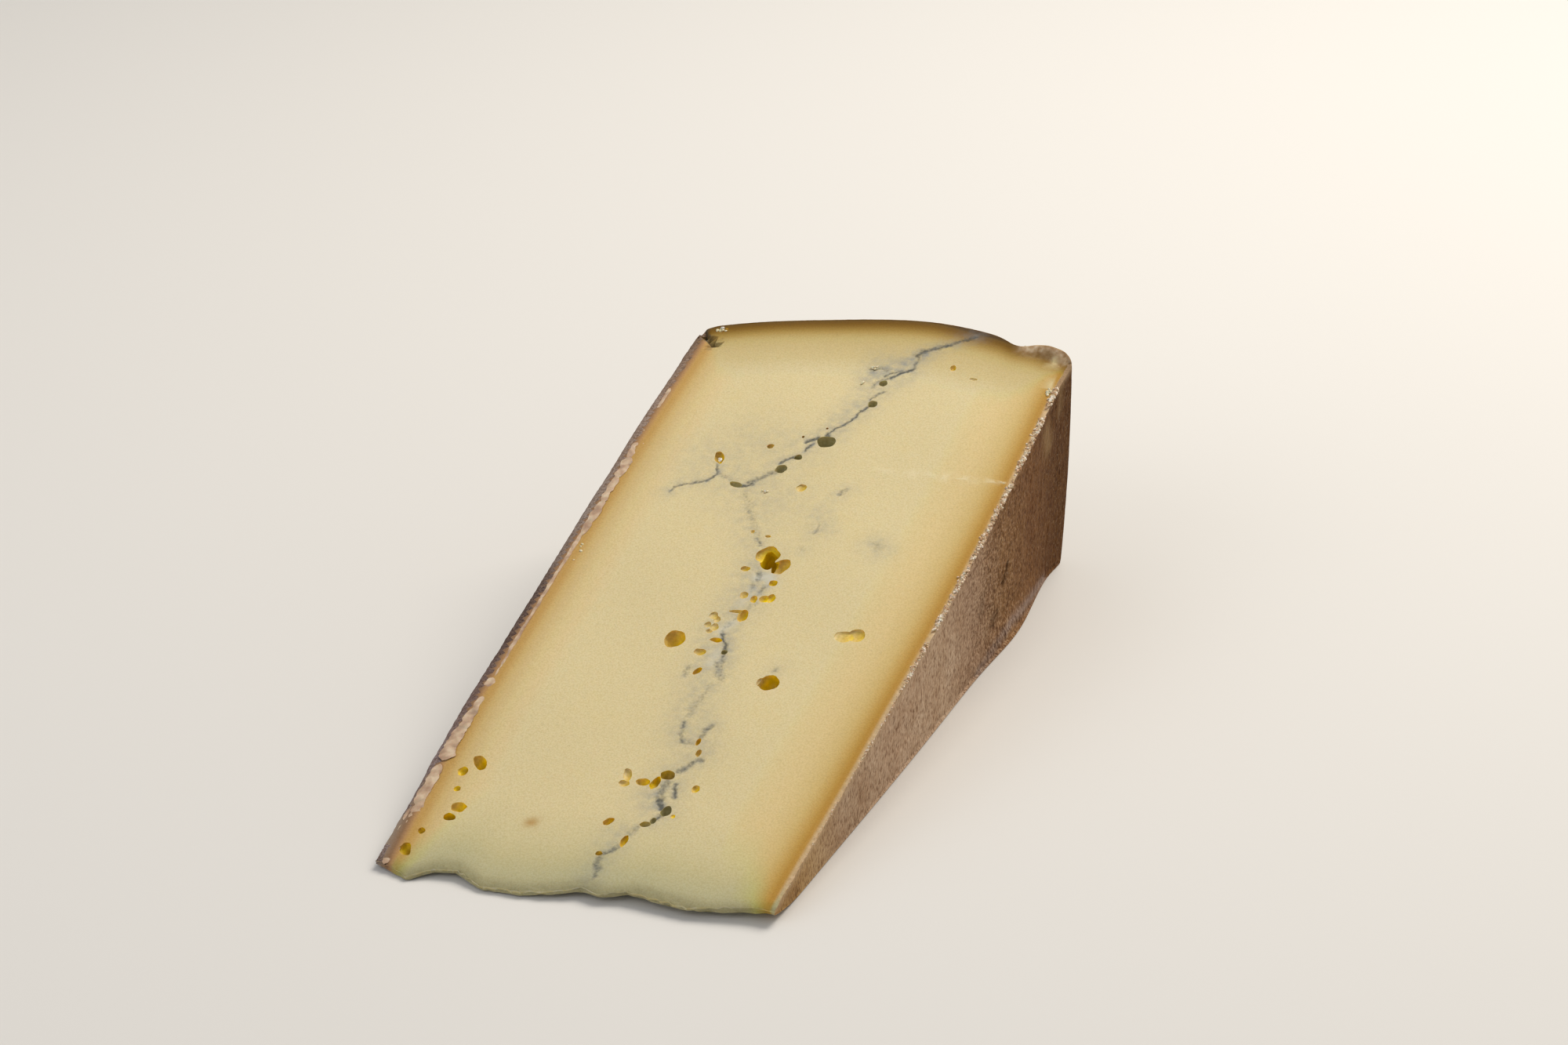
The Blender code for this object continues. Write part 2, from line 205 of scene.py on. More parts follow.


# %% [markdown]
# ## What the knife opened
#
# Eyes are bubbles of gas in the curd. The knife cuts them at all depths, so some are deep glossy
# bowls and others only shallow pans. Each line gives where an eye is (x, r), its width across and
# its length along the face, its depth, how far it is turned, and a tone: near 0 its wall is pale
# straw, near 1 dark olive.

# %% The eyes
EYES = [
    (17.8, 152.3, 1.3, 1.9, 0.7, 15, 0.45), (22.6, 149.7, 1.6, 0.9, 0.35, 0, 0.1),
    (5.9, 145.4, 1.7, 2.0, 1.6, 0, 0.95), (6.1, 138.8, 2.0, 2.2, 1.8, 0, 0.95),
    (0.1, 129.8, 0.8, 0.9, 0.4, 0, 0.3), (-4.7, 127.4, 0.9, 1.0, 0.35, 0, 0.3),
    (-3.5, 126.5, 0.9, 1.1, 0.5, 0, 0.35), (1.4, 126.0, 4.1, 3.7, 2.6, 10, 1.0),
    (-8.8, 122.8, 1.5, 1.5, 0.7, -25, 0.35), (-2.4, 120.6, 1.8, 1.7, 1.5, -20, 1.0),
    (-4.4, 116.8, 2.2, 2.7, 1.6, 0, 0.92), (-17.3, 118.0, 1.9, 3.8, 1.4, 26, 0.5),
    (-11.4, 111.0, 2.7, 1.5, 1.1, -12, 0.88), (1.3, 112.2, 2.0, 2.4, 0.45, 0, 0.32),
    (-3.3, 98.6, 0.8, 1.0, 0.4, 0, 0.3), (0.0, 97.8, 1.2, 0.8, 0.4, 0, 0.35),
    (2.0, 92.8, 4.8, 4.6, 1.3, 10, 0.6), (2.4, 91.7, 3.2, 6.0, 6.0, 12, 1.0),
    (5.3, 90.2, 3.3, 4.8, 1.8, -10, 0.4), (-0.9, 88.3, 1.9, 1.5, 0.5, 0, 0.4),
    (5.5, 85.6, 1.7, 1.6, 0.7, -20, 0.6), (1.5, 81.4, 1.6, 1.9, 0.5, 0, 0.3),
    (3.6, 80.8, 1.4, 2.1, 0.7, 10, 0.5), (5.4, 81.2, 1.8, 1.9, 0.7, 0, 0.5),
    (6.5, 81.6, 1.8, 2.3, 0.8, -10, 0.5), (3.2, 76.2, 1.9, 3.5, 1.4, 5, 0.5),
    (1.8, 77.0, 2.8, 0.9, 0.6, 8, 0.35), (-1.9, 75.1, 1.7, 1.9, 0.4, 0, 0.22),
    (-0.9, 74.2, 1.3, 1.8, 0.4, 0, 0.22), (-2.1, 72.6, 1.4, 1.6, 0.4, 0, 0.2),
    (-0.7, 72.2, 1.6, 2.0, 0.4, 0, 0.22), (-1.2, 71.0, 1.3, 1.2, 0.4, 0, 0.22),
    (-6.5, 67.8, 4.3, 4.7, 2.4, 28, 0.5), (0.9, 69.0, 2.2, 1.3, 1.0, 0, 0.6),
    (3.5, 66.3, 1.3, 1.4, 1.2, 0, 1.0), (-0.8, 65.4, 2.5, 1.9, 0.5, -8, 0.36),
    (0.6, 60.5, 1.3, 2.4, 1.3, -22, 0.6), (14.1, 60.2, 3.8, 4.3, 2.8, -8, 0.72),
    (12.6, 60.1, 1.6, 2.6, 0.6, 0, 0.2), (22.9, 74.6, 3.6, 2.9, 0.45, 0, 0.28),
    (25.0, 75.3, 3.4, 3.3, 0.6, 0, 0.3), (7.4, 43.6, 1.0, 2.0, 1.0, 0, 0.6),
    (8.4, 41.1, 1.1, 1.9, 0.8, 0, 0.4), (5.1, 35.0, 2.7, 2.3, 2.0, -10, 0.85),
    (3.7, 32.8, 1.6, 3.2, 1.4, -10, 0.7), (1.6, 32.5, 2.6, 1.8, 1.2, 0, 0.5),
    (-1.7, 33.6, 1.5, 3.2, 0.7, 22, 0.25), (-1.5, 31.5, 2.0, 1.6, 0.7, 0, 0.3),
    (11.1, 32.8, 1.5, 1.8, 0.7, 0, 0.45), (8.1, 26.8, 1.8, 2.8, 1.9, -5, 1.0),
    (9.7, 25.8, 0.9, 1.0, 0.4, 0, 0.5), (6.8, 24.1, 1.1, 1.6, 1.1, 0, 0.95),
    (5.9, 23.0, 2.0, 1.4, 1.0, 10, 0.9), (-0.5, 22.1, 1.6, 2.4, 1.1, -25, 0.58),
    (3.9, 18.3, 1.4, 3.1, 1.0, 0, 0.6), (0.9, 14.6, 1.5, 1.2, 0.9, 0, 0.75),
    (-28.1, 30.7, 2.4, 4.2, 2.0, 38, 0.6), (-30.2, 28.1, 1.8, 2.3, 0.9, 10, 0.7),
    (-29.4, 23.9, 1.3, 1.4, 0.6, 0, 0.72), (-27.2, 19.7, 2.9, 2.4, 1.4, 0, 0.55),
    (-27.8, 17.1, 2.3, 1.9, 1.4, -20, 0.86), (-31.0, 12.8, 1.7, 1.9, 0.7, 0, 0.72),
    (-31.8, 8.1, 2.4, 3.8, 0.9, 30, 0.74), (-31.0, 155.8, 2.4, 1.2, 0.6, 25, 0.4),
]
eyes = np.array(EYES)
eyes[:, :5] *= MM
eye_xs, eye_rs, eye_widths, eye_lengths, eye_depths, _, eye_tones = eyes.T
print(len(eyes), "eyes, the widest", eye_widths.max() * 1000, "mm across")

# %% [markdown]
# The line of ash is where two days' milkings met: a dusting of ash went on the first curd before
# the second was laid on it. The two never quite knit, so mould follows the seam in broken threads
# and smudges. Each stroke has a strength, a width in millimetres and the points that it runs
# through. Strokes are easier to place than a noise pattern, and noise then frays them.

# %% The line of ash
ASH = [
    (0.85, 0.51, [(19, 162.6), (16.5, 160.6), (14.3, 158.7), (12.4, 157.6), (10.8, 156.6)]),
    (1, 0.69, [(10.9, 156.5), (10.2, 155.6), (9.6, 155)]),
    (0.7, 0.38, [(10, 154.6), (10.2, 152.5), (10.4, 150.4)]),
    (1, 0.29, [(10.2, 150.3), (8.5, 149.2), (7.4, 148), (6.9, 147.2)]),
    (0.8, 0.26, [(8.3, 149.9), (6.6, 148.9), (5.6, 147.6)]),
    (0.55, 0.51, [(5.4, 149.5), (4, 149.9), (2.4, 149.2)]),
    (0.6, 0.32, [(6, 147), (4.4, 145.2), (4.1, 143.9)]),
    (0.8, 0.26, [(6.8, 142.8), (6.1, 142), (5.6, 141.2), (5, 140.1)]),
    (1, 0.29, [(5.6, 137.9), (4.8, 136.8), (4.4, 136.2)]),
    (0.9, 0.2, [(4.4, 136.2), (4.1, 135), (4.2, 134.1), (3.6, 132.9), (2.9, 131.6)]),
    (0.9, 0.2, [(2.9, 131.6), (1.9, 130.4), (1.3, 129.1), (0.7, 127.9)]),
    (1, 0.26, [(0.8, 128.2), (1, 126.8)]),
    (1, 0.32, [(-0.5, 126.8), (-1.4, 126.1), (-2.4, 125.2)]),
    (0.9, 0.22, [(-0.9, 125), (-1.5, 123.6), (-1.9, 122.4)]),
    (0.9, 0.22, [(-3.1, 120.5), (-4.2, 119.7), (-4.9, 119), (-5.2, 118.2)]),
    (0.65, 0.57, [(-5.2, 116), (-6.6, 114.6), (-7.9, 113), (-9, 112)]),
    (0.9, 0.32, [(-8.2, 111.6), (-9.2, 111.1), (-10.2, 110.9)]),
    (0.4, 0.22, [(-12.7, 111.8), (-14, 112.6), (-15.6, 113.4)]),
    (0.85, 0.2, [(-17, 116), (-16.3, 114.4), (-15.8, 113.3), (-16.5, 112.2), (-17.3, 110.6)]),
    (0.8, 0.2, [(-17.3, 110.7), (-18.8, 110.2), (-20.2, 109.4), (-21.4, 108.7)]),
    (0.7, 0.2, [(-21.4, 108.7), (-22.3, 107.8), (-22.9, 106.4)]),
    (0.35, 0.75, [(-9, 109.5), (-7.4, 106.5), (-6, 104), (-4.6, 101.8)]),
    (0.35, 0.75, [(-4.6, 101.8), (-3.6, 99.5), (-1.6, 96.7), (-0.8, 95.2)]),
    (0.6, 0.26, [(-6.2, 104.2), (-5.9, 103.6)]),
    (0.65, 0.22, [(-1.7, 96.8), (-1, 96), (-0.6, 94.9)]),
    (0.55, 0.32, [(9.7, 113.4), (8.8, 111.8)]),
    (0.6, 0.29, [(8.3, 102.4), (8.1, 100.2)]),
    (0.4, 0.75, [(20, 99.2), (21.4, 98.6)]),
    (0.4, 0.26, [(7.5, 95.3), (7.8, 94.9)]),
    (0.7, 0.43, [(2.1, 87.4), (2.5, 86.3), (2.2, 85.9)]),
    (0.6, 0.22, [(4.9, 84.9), (4.2, 83.9), (4, 82.9)]),
    (0.45, 0.57, [(1.9, 84.5), (2.6, 83)]),
    (0.4, 0.57, [(3.8, 79), (1.8, 74), (1, 71.5)]),
    (1, 0.29, [(1.4, 70.9), (1.9, 69.8), (2.4, 69.1)]),
    (1, 0.32, [(2.8, 68.6), (3, 67.6), (3.4, 66.6)]),
    (0.7, 0.4, [(3.5, 65.6), (3.9, 64.5), (4.2, 63.6)]),
    (0.7, 0.44, [(3.1, 63.1), (3.6, 62.3)]),
    (0.6, 0.44, [(4.3, 62.7), (4.5, 61.5)]),
    (0.45, 0.88, [(4.4, 60.8), (5.6, 59.6)]),
    (0.5, 0.53, [(-1.5, 61), (-1.2, 59)]),
    (0.45, 0.44, [(14.3, 64.2), (13.7, 63.2)]),
    (0.38, 0.6, [(4.2, 57.5), (3.6, 53), (3.3, 49.5)]),
    (0.8, 0.44, [(3.1, 47.5), (3.3, 46.6)]),
    (0.55, 0.32, [(3.4, 46.4), (3.6, 45), (4.3, 43.7)]),
    (0.7, 0.44, [(4.3, 43.7), (4.7, 43.3)]),
    (0.5, 0.32, [(4.9, 43.1), (6.6, 43)]),
    (0.7, 0.44, [(8.2, 47.8), (7.6, 46.6)]),
    (0.6, 0.36, [(7.6, 46.5), (7.3, 44.6)]),
    (0.75, 0.44, [(9.6, 39.4), (8.9, 39.6)]),
    (0.7, 0.48, [(8.7, 39), (7.7, 37.9), (7.3, 36.9), (6.6, 36.2)]),
    (0.85, 0.36, [(7.2, 33.2), (7.7, 31.6), (8.2, 30.3)]),
    (0.65, 0.8, [(5.6, 33.2), (5.6, 31), (6.2, 29)]),
    (1, 0.48, [(6.1, 28.9), (6.6, 28.1), (7, 27.2)]),
    (0.9, 0.4, [(7.6, 25.6), (7.2, 24.9), (6.8, 24.4)]),
    (0.45, 0.71, [(4.6, 22), (4.1, 20.4)]),
    (0.7, 0.44, [(3.4, 16.9), (2.9, 16), (2.2, 15), (1.5, 14.7)]),
    (0.7, 0.53, [(1.2, 13.6), (1.6, 12.4), (2, 10.9), (2.2, 9.6)]),
]
# the same for the grey haze of mould about the line, and for its white down
HAZE = [
    (0.3, 9.0, [(-17, 117), (-10, 112), (-5, 108)]), (0.25, 7.0, [(-13, 124), (-3, 122)]),
    (0.32, 4.0, [(-6, 104), (-2, 96)]), (0.49, 4.0, [(1, 92), (2, 82), (1, 72), (2, 62)]),
    (0.42, 4.0, [(3, 57), (4, 46), (8, 42)]), (0.42, 3.5, [(6, 36), (4, 29), (7, 26)]),
    (0.49, 3.0, [(3, 152), (9, 147)]), (0.42, 3.0, [(6, 144), (4, 136), (2, 128)]),
    (0.34, 3.0, [(7, 106), (9, 101)]), (0.35, 3.0, [(2, 20), (2, 10)]),
    (0.49, 1.6, [(3.0, 88), (5.0, 85.5), (3.6, 83.5)]), (0.42, 1.4, [(1.4, 74), (0.6, 70.5)]),
    (0.35, 3.0, [(20, 99.5), (22, 98)]), (0.42, 1.6, [(3.2, 150), (5.5, 150)]),
    (0.85, 2.6, [(11, 155.5), (8.6, 152), (3, 147.4)]), (0.5, 3.4, [(5, 147), (4, 138), (1, 130)]),
    (0.8, 1.6, [(5.5, 33), (5.2, 30), (6.5, 27.5)]), (0.75, 2.4, [(3.4, 87), (2.6, 84), (3.4, 81)]),
    (0.7, 1.8, [(2.6, 70), (4, 65), (4.4, 61)]),
]
ASH_SPREAD = 0.15 * MM  # how much wider than its stroke the mould has grown
SMOKE = [(0.9, 0.45 * MM), (0.5, 1.9 * MM)]  # strength and extra width of the grey round a stroke
COTTON = [
    (0.85, 1.1, [(2.2, 86.6), (4.2, 87.2), (5.2, 85.6)]), (0.65, 0.9, [(2.2, 74.2), (0.9, 71.5)]),
    (0.5, 1.0, [(2.3, 66), (2.2, 62.8)]), (0.4, 0.9, [(2.6, 83.2), (1.6, 79)]),
]
RUST = [(0.75, 1.1, [(-13.2, 19.1), (-13.5, 19.0)])]  # one small warm stain
SCAR = [(12, 119.9), (21.2, 120.4), (35.2, 120.6), (37.9, 120.9)]  # a pale line the wire left
CRACK = [(-35.4, 155.2), (-34.2, 153.8), (-32.6, 152.4), (-31.2, 151.0)]
SCAR_WIDTH, CRACK_WIDTH = 0.26 * MM, 0.45 * MM


def line_distance(x, r, points):
    """How far places on the cut face lie from a line drawn through points in millimetres."""
    nearest = np.full(len(x), 1.0)
    for (x_a, r_a), (x_b, r_b) in zip(points, points[1:]):
        along_x, along_r = (x_b - x_a) * MM, (r_b - r_a) * MM
        share = (x - x_a * MM) * along_x + (r - r_a * MM) * along_r
        share = np.clip(share / (along_x**2 + along_r**2), 0, 1)
        away = np.hypot(x - x_a * MM - share * along_x, r - r_a * MM - share * along_r)
        nearest = np.minimum(nearest, away)
    return nearest


def strongest(x, r, strokes, spread=0.0):
    """The strength of the strongest stroke at each place, fading out over the stroke's width."""
    found = np.zeros(len(x))
    for strength, width, points in strokes:
        shown = strength * fade(line_distance(x, r, points), width * MM + spread)
        found = np.maximum(found, shown)
    return found


def eye_distance(x, r):
    """How far places lie from the nearest eye's rim, 0 inside it, and which eye that is."""
    nearest, which = np.full(len(x), 1.0), np.zeros(len(x), int)
    for number, (eye_x, eye_r, width, length, _, turn, _) in enumerate(eyes):
        cos, sin = math.cos(math.radians(turn)), math.sin(math.radians(turn))
        side = (x - eye_x) * cos + (r - eye_r) * sin
        up = (r - eye_r) * cos - (x - eye_x) * sin
        out = np.hypot(side / (width / 2), up / (length / 2))
        away = np.maximum(out - 1, 0) * min(width, length) / 2
        closer = away < nearest
        nearest, which = np.where(closer, away, nearest), np.where(closer, number, which)
    return nearest, which


# %% [markdown]
# ## Dividing the block where detail needs it
#
# Squares of a fifth of a millimetre all over would cost nearly a million faces. So the block
# starts coarse, and `subdivide_edges` splits only the edges that are still too long for what lies
# under them: a fifth of a millimetre along the ash, a third round the eyes, half a millimetre or
# one on the rind, and hardly at all on the flat underside. Splitting by the bent length keeps
# faces square.

# %% The block
ACROSS, ALONG, UP = 40, 86, 24
block = bmesh.new()
bmesh.ops.create_grid(block, x_segments=ACROSS, y_segments=ALONG, size=0.5)
pulled = bmesh.ops.extrude_face_region(block, geom=block.faces[:])["geom"]
raised = [item for item in pulled if isinstance(item, bmesh.types.BMVert)]
bmesh.ops.translate(block, verts=raised, vec=(0, 0, 1))
walls = [edge for edge in block.edges if abs(edge.verts[0].co.z - edge.verts[1].co.z) > 0.5]
bmesh.ops.subdivide_edges(block, edges=walls, cuts=UP - 1, use_grid_fill=True)
stretched = Matrix.Translation((0, 0.5, 0)) @ Matrix.Diagonal((2, 1, 1, 1))
bmesh.ops.transform(block, verts=block.verts[:], matrix=stretched)
bmesh.ops.recalc_face_normals(block, faces=block.faces[:])
print("the block starts with", len(block.faces), "faces")


def longest_edge(places):
    """The longest edge allowed at each block place, in metres."""
    x, r, depth = wheel_places(places)
    from_ash = np.full(len(x), 1.0)
    for _, width, points in ASH:
        from_ash = np.minimum(from_ash, line_distance(x, r, points) - width * MM / 2)
    from_line = np.minimum(line_distance(x, r, SCAR), line_distance(x, r, CRACK) * 0.5)
    from_rust = line_distance(x, r, RUST[0][2])
    from_eye, _ = eye_distance(x, r)
    right, left = half_height(1, r) - x, x + half_height(-1, r)
    heel, tip = heel_radius(x) - r, r - tip_radius(x)
    under, ground = depth > 1e-6, places[:, 2] < 1e-6
    end = places[:, 1] > 1 - 1e-6
    longest = np.full(len(x), 2.2 * MM)
    for chosen, length in (  # in millimetres, and a later row goes before an earlier one
        ((from_ash < 1.6 * MM) | (from_eye < 0.9 * MM), 0.6),
        ((from_ash < 0.6 * MM) | (from_eye < 0.3 * MM), 0.3),
        (from_ash < 0.25 * MM, 0.2),
        (from_rust < 2.5 * MM, 0.6),
        (from_line < 0.4 * MM, 0.3),
        ((left < 4.5 * MM) | (heel < 3.2 * MM) | (tip < 3.0 * MM), 0.6),
        ((right < 2.2 * MM) | (tip < 1.2 * MM), 0.36),
        (under, 2.2),
        (under & (end | (places[:, 0] < -1 + 1e-6)), np.where(depth < 3.0 * MM, 0.6, 1.05)),
        (under & (places[:, 0] > 1 - 1e-6), 0.56),
        (under & (places[:, 1] < 1e-6), 0.5),
        (ground, 4.0),
    ):
        longest = np.where(chosen, length * MM, longest)
    return longest


def split_long_edges(mesh, passes):
    """Halves, once in each pass, every edge that bends out longer than it may be."""
    for _ in range(passes):
        ends = np.array([[*edge.verts[0].co, *edge.verts[1].co] for edge in mesh.edges])
        start, end = ends[:, :3], ends[:, 3:]
        bent = [in_the_world(*wheel_places(points), 0.0) for points in (start, end)]
        too_long = np.linalg.norm(bent[1] - bent[0], axis=1) > longest_edge((start + end) / 2)
        chosen = [edge for edge, split in zip(mesh.edges, too_long) if split]
        bmesh.ops.subdivide_edges(mesh, edges=chosen, cuts=1, use_grid_fill=True)


split_long_edges(block, 5)
wide = [face for face in block.faces if len(face.verts) > 4]
bmesh.ops.triangulate(block, faces=wide)
print("and has", len(block.faces), "faces where it counts")

# %% [markdown]
# ## Relief
#
# Now the block is bent, and each outer surface gets its own relief, always inwards so that the
# wedge keeps its size. The rind was washed and turned on cloth, which left fine upright creases
# about a millimetre apart. The cut face carries the faint wave of the wire, the lip of the heel's
# rind, a groove along the ash, a crumbling right edge and the crack at the left back corner.


# %% Noise in millimetres
def grain(places, size, seed=0.0):
    """Smooth noise from -1 to 1 at world places, which changes over the given sizes in mm."""
    scaled = places / (np.asarray(size) * MM) + seed
    return np.array([noise.noise(Vector(place)) for place in scaled])


def creases(places, size, seed=0.0):
    """1 along fine lines that wander through the noise, and 0 between them."""
    return np.clip(1 - 2.5 * abs(grain(places, size, seed)), 0, 1)


def frayed(x, r, places):
    """The same places moved about a little, so that strokes read there come out frayed."""
    coarse, fine = grain(places, 1.5, 21), grain(places, 0.6, 22)
    side = 0.4 * coarse + 0.25 * fine
    up = 0.4 * grain(places, 1.5, 25) + 0.25 * grain(places, 0.6, 26)
    return x + side * MM, r + up * MM


# %% The bent wedge
FACE_WAVE, FACE_WAVE_LENGTH = 0.2 * MM, 46.0 * MM
HEEL_LIP, RIND = 0.15 * MM, 2.4 * MM
CORNER_LIP, CORNER_LIP_X, CORNER_LIP_REACH = 1.35 * MM, 35.5 * MM, 4.0 * MM
ROUGH_R, ROUGH_REACH = 110 * MM, 13 * MM  # the right rind is roughest there
PASTE, RIND_SLOT, EYE_SKIN = 0, 1, 2  # the order of the body's three materials
SLITS = [(0.45, [(119.2, 16.0), (117.6, 12.8)]), (0.5, [(114.6, 7.6), (113.4, 6.4)])]
SLIT_DEPTH, ASH_GROOVE, SCAR_RIDGE, CRACK_DEPTH = 1.1 * MM, 0.16 * MM, 0.04 * MM, 1.4 * MM
CRUMBLY_REACH, CRUMBLY_END, CRUMBLY_FADE = 1.4 * MM, 150 * MM, 6 * MM
TORN_LINE, TORN_REACH, BROKEN_REACH = 2.9 * MM, 1.5 * MM, 2.4 * MM
TURNED_LEFT, NARROWER_AT_TIP, TURNED_RIGHT = 2.7 * MM, 1.2 * MM, 1.0 * MM

flat = np.array([vert.co[:] for vert in block.verts])
on_top, on_ground = flat[:, 2] > 1 - 1e-6, flat[:, 2] < 1e-6
on_right, on_left = flat[:, 0] > 1 - 1e-6, flat[:, 0] < -1 + 1e-6
on_heel, on_tip = flat[:, 1] > 1 - 1e-6, flat[:, 1] < 1e-6
x, r, depth = wheel_places(flat)
smooth = in_the_world(x, r, depth, 0.0)

# the rind on the right: upright creases, soft waves and two slits
felt = creases(smooth, (9, 0.9, 3.2)) * 0.12 + creases(smooth, (9, 2.1, 6), 5) * 0.16
felt = felt + 0.14 * (1 + grain(smooth, (9, 6, 9), 8)) + 0.07 * (1 + grain(smooth, 0.8, 3))
felt = felt * (1 + 0.5 * hill(r, ROUGH_R, ROUGH_REACH))
push = felt * MM * np.clip(0.35 + (r - 15 * MM) / (80 * MM), 0.35, 1)
for slit_width, slit in SLITS:
    away = line_distance(smooth[:, 1] - axis_y, smooth[:, 2], slit)
    push = push + SLIT_DEPTH * fade(away, slit_width * MM)
x = np.where(on_right & ~on_ground, x - push, x)

# the rind on the left and round the heel: the same felt, a little coarser
felt = creases(smooth, (1.3, 1.3, 5), 11) * 0.12 + 0.1 * (1 + grain(smooth, (4, 4, 7), 14))
felt = felt * MM
x = np.where(on_left & ~on_ground, x + felt, x)
r = np.where(on_heel, r - felt * np.clip(depth / (2 * MM), 0.3, 1), r)

# the cut face: the wire's wave, the lips of rind, the ash, and the edges that crumbled
right, left = half_height(1, r) - x, x + half_height(-1, r)
heel, tip = heel_radius(x) - r, r - tip_radius(x)
edge = np.minimum(np.minimum(right, left), heel)
turn = 2 * math.pi / FACE_WAVE_LENGTH
lift = FACE_WAVE * np.sin(turn * (r + 0.6 * x)) * np.cos(0.7 * turn * (x - 0.2 * r))
lift = lift + HEEL_LIP * closeness(heel, RIND)
corner = hill(x, CORNER_LIP_X, CORNER_LIP_REACH) * hill(r, CORNER_R, CORNER_LIP_REACH)
lift = lift + CORNER_LIP * closeness(edge, RIND) * corner
ash = strongest(*frayed(x, r, smooth), ASH, ASH_SPREAD)
lift = lift - ASH_GROOVE * ash * (0.7 + 0.6 * grain(smooth, 0.8, 23))
lift = lift + SCAR_RIDGE * fade(line_distance(x, r, SCAR), SCAR_WIDTH)
lift = lift - CRACK_DEPTH * fade(line_distance(x, r, CRACK), CRACK_WIDTH)
crumbly = closeness(right, CRUMBLY_REACH) * np.clip((CRUMBLY_END - r) / CRUMBLY_FADE, 0, 1)
lift = lift + crumbly * MM * (0.2 * grain(smooth, 0.75, 31) + 0.15 * grain(smooth, 2.2, 32) - 0.1)
torn = closeness(abs(left - TORN_LINE), TORN_REACH)
lift = lift + torn * MM * (0.05 * grain(smooth, 0.9, 41) + 0.05 * grain(smooth, 3.0, 42))
broken = closeness(tip, BROKEN_REACH)
lift = lift - MM * (0.5 * broken**2 + 0.25 * broken * abs(grain(smooth, 1.5, 51)))
lift = np.where(on_top, lift, 0.0)
r = np.where(on_tip, r + 0.7 * MM * abs(grain(smooth, (1.8, 9, 1.5), 55)), r)

# everything into the world, and its faces shared out between the paste and the rind
bent = in_the_world(x, r, depth, lift)
bent[:, 2] = np.where(on_ground, smooth[:, 2], bent[:, 2])
bent = np.clip(bent, low, high)
rind_reach = TURNED_LEFT - NARROWER_AT_TIP * np.clip((34 * MM - r) / (8 * MM), 0, 1)
turned_over = (left < rind_reach + 0.3 * MM * grain(smooth, 1.6, 61)) & (r > 3 * MM)
reach_right = TURNED_RIGHT + 0.2 * MM * grain(smooth, 1.2, 62)
turned_over |= (right < reach_right) & (r > 150 * MM) & (r < 157 * MM)
for vert, place in zip(block.verts, bent):
    vert.co = place
block.verts.index_update()
for face in block.faces:
    numbers = [vert.index for vert in face.verts]
    if on_top[numbers].all():
        is_rind = turned_over[numbers].mean() > 0.5
    else:
        is_rind = any(wall[numbers].all() for wall in (on_right, on_left, on_heel))
    face.material_index = RIND_SLOT if is_rind else PASTE
underside = [face for face in block.faces if max(vert.co.z for vert in face.verts) < 1e-7]
bmesh.ops.dissolve_faces(block, faces=underside, use_verts=True)
print("bent to", np.round((bent.max(0) - bent.min(0)) * 1000, 1), "mm")

# %% [markdown]
# ## Cutting the eyes
#
# An eye could be dented into the face by moving vertices, but a bubble is often wider inside than
# at its mouth, and a dent can't go under itself. A Boolean can: each eye is a lumpy ball sunk into
# the paste, and the difference leaves its skin as the wall of the hole. The balls carry the third
# material, so that the walls come out marked as eye skin. The surface is fine and must come out
# closed, so the cut uses the MANIFOLD solver, which wants balls that don't run into each other:
# neighbours that do go into different crowds, and each crowd has its own cut.

# %% Balls for the eyes
EYE_SINK, LUMP = 0.3, 0.2
wedge_place = Matrix.Translation((middle_x, axis_y, 0)) @ Matrix.Rotation(WEDGE_ANGLE, 4, "X")

crowds = []  # each a list of eyes that keep clear of each other
eye_reaches = np.maximum(eye_widths, eye_lengths) / 2
for number, reach in enumerate(eye_reaches):
    for crowd in crowds:
        away = np.hypot(eye_xs[crowd] - eye_xs[number], eye_rs[crowd] - eye_rs[number])
        if (away - eye_reaches[crowd]).min() > reach:
            crowd.append(number)
            break
    else:
        crowds.append([number])
print("the eyes keep clear of each other in", len(crowds), "crowds")


def eye_balls(crowd):
    """One mesh of lumpy balls, sunk into the cut face where the eyes of the crowd are."""
    balls = bmesh.new()
    for number in crowd:
        eye_x, eye_r, width, length, deep, turn, _ = eyes[number]
        ball_height = deep / (1 + EYE_SINK)
        place = Matrix.Translation((eye_x, eye_r, -EYE_SINK * ball_height))
        place = wedge_place @ place @ Matrix.Rotation(math.radians(turn), 4, "Z")
        fine = 3 if width > 1.4 * MM else 2
        ball = bmesh.ops.create_icosphere(balls, subdivisions=fine, radius=1.0)["verts"]
        for vert in ball:
            vert.co *= 1 + LUMP * noise.noise(vert.co * 1.3 + Vector((number, 0, 0)))
        stretch = Matrix.Diagonal((width / 2, length / 2, ball_height, 1))
        bmesh.ops.transform(balls, matrix=place @ stretch, verts=ball)
    return balls


def show(name, data):
    """A new object of the scene, made from a mesh, a lamp or a camera."""
    thing = bpy.data.objects.new(name, data)
    bpy.context.scene.collection.objects.link(thing)
    return thing


def add_object(name, mesh, *materials):
    """A bmesh made into an object of the scene, with its materials."""
    data = bpy.data.meshes.new(name)
    mesh.to_mesh(data)
    mesh.free()
    for material in materials:
        data.materials.append(material)
    return show(name, data)


# %% [markdown]
# ## Colours
#
# Colours are easiest to read as the hex codes a painter would mix by. Blender works in linear
# light, so one function converts them. A second one adds a node to a material and makes its
# links. Three more lay colours over each other, draw noise at a real size and give relief, which
# keeps each material below down to a list of what it is made of.


# %% Helpers for materials
def linear(code, alpha=1.0):
    """An sRGB hex colour as the linear values that Blender's shaders use."""
    parts = [int(code[i : i + 2], 16) / 255 for i in (1, 3, 5)]
    parts = [c / 12.92 if c <= 0.04045 else ((c + 0.055) / 1.055) ** 2.4 for c in parts]
    return (*parts, alpha)


